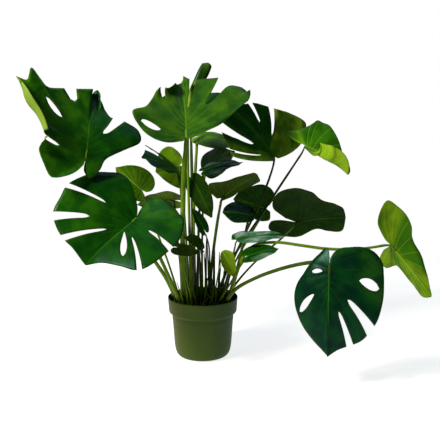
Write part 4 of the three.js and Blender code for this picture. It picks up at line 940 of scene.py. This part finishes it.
def blade_material(name, look):
    """A leaf's face: its upper and lower colours, lighter veins, a second colour in places that is painted
    light and shade, and a dry edge.
    """
    skin = Skin(name)
    flat = skin.attribute("flat")[0]
    _, vein, middle, edge = skin.attribute("lines")
    _, upper, tint, out = skin.attribute("face")
    broad = skin.noise(flat, 0.018, 2)
    fine = skin.noise(flat, 0.3, 4)
    patches = skin.ramp(broad, 0.35, 0.65)
    second = skin.mix(skin.ramp(broad, 0.4, 0.6), *look["second"])
    top = skin.mix(tint, skin.mix(patches, *look["upper"]), second)
    under_second = look.get("under_second", look["under"][1])
    bottom = skin.mix(tint, skin.mix(patches, *look["under"]), under_second)
    blade = skin.mix(upper, bottom, top)
    blade = skin.mix(skin.ramp(vein, 0.35, 1.3, look["veins"], 0), blade, look["vein"])
    rib_width = skin.ramp(out, 0, 1, 2.2, 0.7)
    rib = skin.ramp(middle, skin.math("MULTIPLY", rib_width, 0.5), rib_width, look["rib"], 0)
    blade = skin.mix(rib, blade, look["vein"])
    dry = skin.ramp(skin.math("SUBTRACT", edge, skin.math("MULTIPLY", broad, 5)), -1.6, -0.6, 1, 0)
    blade = skin.mix(skin.math("MULTIPLY", dry, look["dry"]), blade, DRY_EDGE)
    rough = skin.ramp(upper, 0, 1, look["rough"] + 0.15, look["rough"])
    rough = skin.math("ADD", rough, skin.ramp(fine, 0.3, 0.7, -0.04, 0.06))
    return skin.made(fine, 0.25, 0.0006, Base_Color=blade, Roughness=rough,
                     Specular_IOR_Level=look["gloss"], Specular_Tint=look["glare"])


def rod_material(name, base, far, light):
    """A stalk or stem: one colour at its foot, another at its far end, and streaks along it."""
    skin = Skin(name)
    place, _, _, share = skin.attribute("rod")
    streak = skin.noise(place, 1, 3, (0.035, 2.6, 0))
    spot = skin.noise(place, 1, 2, (0.09, 0.9, 0))
    colour = skin.mix(skin.ramp(share, 0.05, 0.55), base, far)
    colour = skin.mix(skin.ramp(streak, 0.45, 0.7, 0, 0.5), colour, light)
    colour = skin.mix(skin.ramp(spot, 0.62, 0.72, 0, 0.35), colour, DRY_EDGE)
    return skin.made(streak, 0.35, 0.0008, Base_Color=colour, Roughness=0.42, Specular_IOR_Level=0.35,
                     Specular_Tint=light)


def pot_material():
    """Olive-green plastic, with painted light on its left and painted shade on its right, cloudy and dusty.
    """
    skin = Skin("pot_plastic")
    place = skin.add("TexCoord").outputs["Object"]
    cloud = skin.noise(place, 9, 3)
    grain = skin.noise(place, 420, 2)
    scuff = skin.noise(place, 60, 5, (1, 1, 0.25))
    # Painted light and shade: lighter towards the left, where the key light falls, darker towards the right.
    across = skin.add("SeparateXYZ", place).outputs[0]
    lit_left = skin.mix(skin.ramp(across, -0.11, 0), POT_LIT_AND_CLOUDY, POT_GREEN)
    colour = skin.mix(skin.ramp(across, 0, 0.09), lit_left, POT_SHADED)
    colour = skin.mix(skin.ramp(cloud, 0.35, 0.65, 0, 0.25), colour, POT_LIT_AND_CLOUDY)
    colour = skin.mix(skin.ramp(scuff, 0.6, 0.8, 0, 0.25), colour, POT_DUST)
    return skin.made(grain, 0.15, 0.0004, Base_Color=colour, Roughness=0.5, Specular_IOR_Level=0.12)


def soil_material(name, colours, scale):
    skin = Skin(name)
    crumbs = skin.noise(skin.add("TexCoord").outputs["Object"], scale, 6)
    colour = skin.mix(skin.ramp(crumbs, 0.4, 0.62), *colours)
    return skin.made(crumbs, 0.9, 0.004, Base_Color=colour, Roughness=0.95, Specular_IOR_Level=0.15)


# ---------------------------------------------------------------- making the pieces


def build_leaf(leaf):
    name, stalk = leaf["name"], leaf["stalk"]
    blade = new_object(name + "_blade", *blade_mesh(leaf))
    look = {**LOOKS[leaf["colour"]], **leaf["look"]}
    finished(blade, blade_material(name + "_face", look), "leaf_" + leaf["colour"], name)
    make_rod(
        name + "_stalk", stalk_way(leaf), lambda share: stalk_radius(stalk, share), (STALK_SIDES, STALK_STEP),
        leaf["stalk_look"], name, inward=(PLANT_X - stalk[0], PLANT_Y - stalk[1], 0),
        groove=lambda share: 0.55 * max(1 - share / SHEATH_LENGTH, 0) ** 0.7,
    )


def build_roll():
    """The newest leaf, still rolled up: a sheet wound round an axis, ruffled at its open top."""
    name = "leaf_new_roll"
    axis, share, length = curve_through(ROLL["axis"], ROLL["step"])
    tangents = unit(np.gradient(axis, axis=0))
    side = unit(np.cross(tangents[0], [0, 1, 0]))
    count = ROLL["sides"] + 1
    around = np.linspace(0, 1, count)
    angle = 2 * math.pi * ROLL["turns"] * around
    surface, flat = [], []
    for centre, tangent, k in zip(axis, tangents, share):
        side = unit(side - tangent * (side @ tangent))
        other = np.cross(tangent, side)
        swell = ROLL["slim"] + ROLL["swell"] * math.sin(math.pi * k * ROLL["span"]) ** 2
        radius = (ROLL["inner"] + ROLL["gap"] * ROLL["turns"] * around) * swell
        ruffled = radius * (1 + ROLL["ruffle"] * np.sin(3 * angle + 7 * k) * k)
        dip = ROLL["dip"] * k**6 * (1 + np.sin(2 * angle + 1))
        ring = np.outer(ruffled * np.cos(angle), side) + np.outer(ruffled * np.sin(angle), other)
        surface.append(centre + ring - np.outer(dip, tangent))
        flat.append(np.stack([np.full(count, k * length), radius * angle, 0 * angle], -1))
    surface, flat = np.concatenate(surface), np.concatenate(flat)
    starts = [i for i in range(len(surface) - count) if i % count < count - 1]
    quads = [[i, i + 1, i + count + 1, i + count] for i in starts]
    out = np.tile(around, len(axis))
    vein = np.abs((flat[:, 0] + 0.8 * flat[:, 1]) % 16 - 8)
    lines = np.stack([vein, np.full(len(vein), 20), np.minimum(1 - out, 0.2) * 60], -1)
    tint = 1 - smooth(0.3, 0.6, flat[:, 0] / length)
    half = BLADE_THICKNESS / 2
    blade = new_object(name + "_blade", *sheet(surface, quads, half, half, flat, lines, tint, out))
    finished(blade, blade_material(name + "_face", {**LOOKS["deep"], **ROLL["look"]}), "leaf_new", name)
    seat = axis[round(ROLL["seat"] * (len(axis) - 1))]
    way = [*foot_points(*ROLL["stalk"][:2]), *ROLL["way"], ROLL["axis"][0], seat]
    radius_at = lambda share: stalk_radius(ROLL["stalk"], share)
    make_rod(name + "_stalk", way, radius_at, (STALK_SIDES, STALK_STEP), "bright", name)


def build_stem(stem):
    """A short stem with rings where old leaves stood, and its roots."""
    name, (x, y), top = stem["name"], stem["foot"], np.array(stem["top"], float)

    def ringed(share):
        scar = 0.05 * math.exp(-(((share * 3 + 0.5) % 1 - 0.5) / 0.1) ** 2)
        rounding = min(max((share - 0.9) / 0.102, 0), 0.98)
        ring = 1 - 0.1 * math.sin(math.pi * 3 * share) ** 2 + scar
        return stem["radius"] * ring * math.sqrt(1 - rounding**2)

    make_rod(name + "_trunk", [*foot_points(x, y), top], ringed, (TRUNK_SIDES, TRUNK_STEP), "stem", name)
    for number, (height, foot) in enumerate(stem["roots"]):
        share = (height - SOIL_TOP) / (top[2] - SOIL_TOP)
        start = np.array([x, y, SOIL_TOP]) * (1 - share) + top * share
        elbow = np.array([*foot, SOIL_TOP + 16])
        middle = start * 0.4 + elbow * 0.6
        middle[2] = height - 4
        way = [start, middle, elbow, *foot_points(*foot)[::-1]]
        make_rod(f"{name}_root_{number}", way, lambda share: ROOT_RADIUS, (ROOT_SIDES, 4), "root", name)


def build_strands():
    """Young stalks and dry stubs that stand between the leaf stalks, and pale roots on the soil."""
    for number, (x, y, lean_x, lean_y, height, radius, colours) in enumerate(STRANDS):
        top = (x + lean_x, y + lean_y, SOIL_TOP + height)
        middle = (x + 0.35 * lean_x, y + 0.35 * lean_y, SOIL_TOP + 0.5 * height)
        taper = lambda share: radius * (1 - 0.8 * share**2)
        make_rod(f"strand_{number}", [*foot_points(x, y)[1:], middle, top], taper, (10, 5), colours)
    for number, places in enumerate(SURFACE_ROOTS):
        way = [(x, y, SOIL_TOP + soil_bump(x, y) + lift) for x, y, lift in places]
        make_rod(f"surface_root_{number}", way, lambda share: 1.5 - 0.7 * share, (8, 4), "root")


def turned_mesh(profile, sides):
    """A closed surface round the upright axis through (radius, height) points, the first and last on it."""
    points, rings = [], []
    for radius, height in profile:
        count = 1 if radius == 0 else sides
        rings.append([len(points) + k for k in range(count)])
        for turn in (2 * math.pi * k / sides for k in range(count)):
            points.append((radius * math.cos(turn), radius * math.sin(turn), height))
    faces = []
    for low, high in zip(rings, rings[1:]):
        for k in range(sides):
            after = (k + 1) % sides
            pair = [high[k % len(high)], high[after % len(high)], low[after % len(low)], low[k % len(low)]]
            faces.append(list(dict.fromkeys(pair)))
    return points, faces


def rounded(profile, radius, steps=4):
    """The profile with its corners rounded."""
    points = [np.array(p, float) for p in profile]
    made = [points[0]]
    for before, corner, after in zip(points, points[1:], points[2:]):
        reach = min(radius, *(0.45 * np.linalg.norm(p - corner) for p in (before, after)))
        start, end = (corner + unit(p - corner) * reach for p in (before, after))
        for share in (k / steps for k in range(steps + 1)):
            made.append(start * (1 - share) ** 2 + corner * 2 * share * (1 - share) + end * share**2)
    return [(float(r), float(z)) for r, z in [*made, points[-1]]]


def drill_drains(pot):
    """Cuts the drain holes through the pot's base."""
    points, faces = [], []
    ring, sides = turned_mesh([(0, -2), (DRAIN_RADIUS, -2), (DRAIN_RADIUS, 5), (0, 5)], DRAIN_SIDES)
    for turn in (2 * math.pi * k / DRAIN_COUNT for k in range(DRAIN_COUNT)):
        faces += [[i + len(points) for i in face] for face in sides]
        shift = (DRAIN_CIRCLE * math.cos(turn), DRAIN_CIRCLE * math.sin(turn), 0)
        points += [tuple(a + b for a, b in zip(point, shift)) for point in ring]
    drill = new_object("drill", points, faces)
    cut = pot.modifiers.new("drains", "BOOLEAN")
    cut.object = drill
    cut.solver = "EXACT"
    graph = bpy.context.evaluated_depsgraph_get()
    mesh = bpy.data.meshes.new_from_object(pot.evaluated_get(graph))
    pot.modifiers.clear()
    pot.data = mesh
    bpy.data.objects.remove(drill)


def inner_wall():
    """The pot's inside from its floor to the foot of the rim, as (radius, height)."""
    return [
        (BASE_RADIUS - 1, POT_WALL), (BASE_RADIUS + 8, POT_WALL + 3), (BASE_RADIUS + 13, POT_WALL + 9),
        (BASE_RADIUS + 17, POT_WALL + 21), (FOOT_RADIUS - POT_WALL, POT_WALL + 41),
        (NECK_RADIUS - POT_WALL, COLLAR_BOTTOM - 7), (NECK_RADIUS - POT_WALL + 1, COLLAR_BOTTOM - 2),
        (COLLAR_RADIUS - POT_WALL - 1, COLLAR_BOTTOM + 4),
    ]


def build_pot():
    outer = [
        (BASE_RADIUS, 0), (87, 3), (93, 10), (97, 22), (FOOT_RADIUS, 42),
        (NECK_RADIUS - 0.8, COLLAR_BOTTOM - 26), (NECK_RADIUS, COLLAR_BOTTOM - 25),
        (NECK_RADIUS, COLLAR_BOTTOM - 9), (NECK_RADIUS + 1, COLLAR_BOTTOM - 5),
        (COLLAR_RADIUS - 1, COLLAR_BOTTOM), (COLLAR_RADIUS, COLLAR_BOTTOM + 3),
        (RIM_RADIUS, POT_HEIGHT - 6), (RIM_RADIUS, POT_HEIGHT - 1), (RIM_RADIUS - 1, POT_HEIGHT),
    ]
    profile = [(0, 0), *outer, (RIM_RADIUS - POT_WALL, POT_HEIGHT), *inner_wall()[::-1], (0, POT_WALL)]
    pot = new_object("pot_shell", *turned_mesh(rounded(profile, POT_ROUNDING), POT_SIDES))
    drill_drains(pot)
    finished(pot, pot_material(), "pot", "pot")


def soil_bump(x, y):
    """The lumps of the soil's surface."""
    slow = math.sin(0.071 * x + 1.3) * math.cos(0.083 * y - 0.4)
    quick = math.sin(0.19 * x - 0.7 * math.sin(0.11 * y)) * math.sin(0.17 * y + 2.1)
    return SOIL_BUMP * (0.6 * slow + 0.4 * quick)


def build_soil():
    wall = [(radius - 2 * CLEARANCE, height + CLEARANCE) for radius, height in inner_wall()]
    edge = wall[-1][0]
    rings = [(edge * (1 - k / SOIL_RINGS), SOIL_TOP) for k in range(SOIL_RINGS)]
    profile = [(0, POT_WALL + CLEARANCE), *wall, *rings, (0, SOIL_TOP)]
    points, faces = turned_mesh(profile, SOIL_SIDES)
    points = np.array(points)
    for point in points:
        if point[2] > SOIL_TOP - 1:
            crumb = noise.noise(Vector(point) / 9) * 1.6 + noise.noise(Vector(point) / 3) * 0.9
            point[2] += soil_bump(point[0], point[1]) + crumb * min(1, (edge - math.hypot(*point[:2])) / 8)
    soil = new_object("soil_body", points, faces)
    finished(soil, soil_material("soil_skin", SOIL_COLOURS, 160), "soil", "soil")


def build_chips():
    """Bark chips and crumbs that lie half sunk in the soil."""
    corners = np.array([(a, b, c) for a in (-1, 1) for b in (-1, 1) for c in (-1, 1)], float)
    sides = ((0, 1, 3, 2), (4, 6, 7, 5), (0, 4, 5, 1), (2, 3, 7, 6), (0, 2, 6, 4), (1, 5, 7, 3))
    points, faces = [], []
    for _ in range(CHIP_COUNT):
        distance = (SOIL_RADIUS - 4) * math.sqrt(random.random())
        turn = random.uniform(0, 2 * math.pi)
        x, y = distance * math.cos(turn), distance * math.sin(turn)
        size = random.uniform(2, 6) * (1 if random.random() < 0.8 else 1.7)
        half = np.array([size, size * random.uniform(0.4, 0.8), size * random.uniform(0.25, 0.5)])
        yaw, tilt = random.uniform(0, math.pi), random.uniform(-0.5, 0.5)
        turned = np.array(Matrix.Rotation(yaw, 3, "Z") @ Matrix.Rotation(tilt, 3, "X"))
        broken = np.array([[random.uniform(0.7, 1.1) for _ in range(3)] for _ in range(8)])
        faces += [[len(points) + i for i in face] for face in sides]
        centre = np.array([x, y, SOIL_TOP + soil_bump(x, y) + 0.2 * size])
        points += list((corners * half * broken) @ turned.T + centre)
    chips = new_object("soil_chips", points, faces, smooth_shading=False)
    finished(chips, soil_material("bark_skin", BARK_COLOURS, 90), "soil", "soil")


def area_light(name, place, aim, size, power, colour):
    data = bpy.data.lights.new(name, "AREA")
    data.size = size
    data.energy = power
    data.color = colour
    light = bpy.data.objects.new(name, data)
    light.location = place
    light.rotation_euler = (Vector(aim) - Vector(place)).to_track_quat("-Z", "Y").to_euler()
    bpy.context.scene.collection.objects.link(light)


def set_world():
    """A white backdrop for the camera and a dimmer sky for the light."""
    world = bpy.data.worlds.new("sky")
    world.use_nodes = True
    nodes = Nodes(world.node_tree)
    sky, backdrop = (nodes.add("Background", colour).outputs[0] for colour in (SKY_LIGHT, WHITE))
    seen = nodes.add("LightPath").outputs["Is Camera Ray"]
    nodes.add("OutputWorld", nodes.add("MixShader", seen, sky, backdrop).outputs[0])
    bpy.context.scene.world = world


def build_stage():
    """The camera, the lights and the pale floor."""
    scene = bpy.context.scene
    data = bpy.data.cameras.new("camera")
    data.lens = CAMERA_LENS
    data.sensor_width = CAMERA_SENSOR
    camera = bpy.data.objects.new("camera", data)
    camera.location = CAMERA_PLACE
    camera.rotation_euler = (math.radians(90 + CAMERA_PITCH), 0, 0)
    scene.collection.objects.link(camera)
    scene.camera = camera
    scene.view_settings.view_transform = "Standard"
    for light in LIGHTS:
        area_light(*light)
    set_world()
    turns = [2 * math.pi * k / FLOOR_SIDES for k in range(FLOOR_SIDES)]
    edge = [(FLOOR_RADIUS * math.cos(turn), FLOOR_RADIUS * math.sin(turn), FLOOR_LEVEL) for turn in turns]
    mesh = bpy.data.meshes.new("floor")
    mesh.from_pydata(edge, [], [list(range(FLOOR_SIDES))])
    floor = bpy.data.objects.new("floor", mesh)
    scene.collection.objects.link(floor)
    skin = Skin("floor_white")
    mesh.materials.append(skin.made(Base_Color=FLOOR_GREY, Roughness=0.8, Emission_Color=WHITE,
                                    Emission_Strength=FLOOR_GLOW))


build_stage()
build_pot()
build_soil()
build_chips()
for stem in STEMS:
    build_stem(stem)
build_strands()
for leaf in LEAVES:
    build_leaf(leaf)
build_roll()
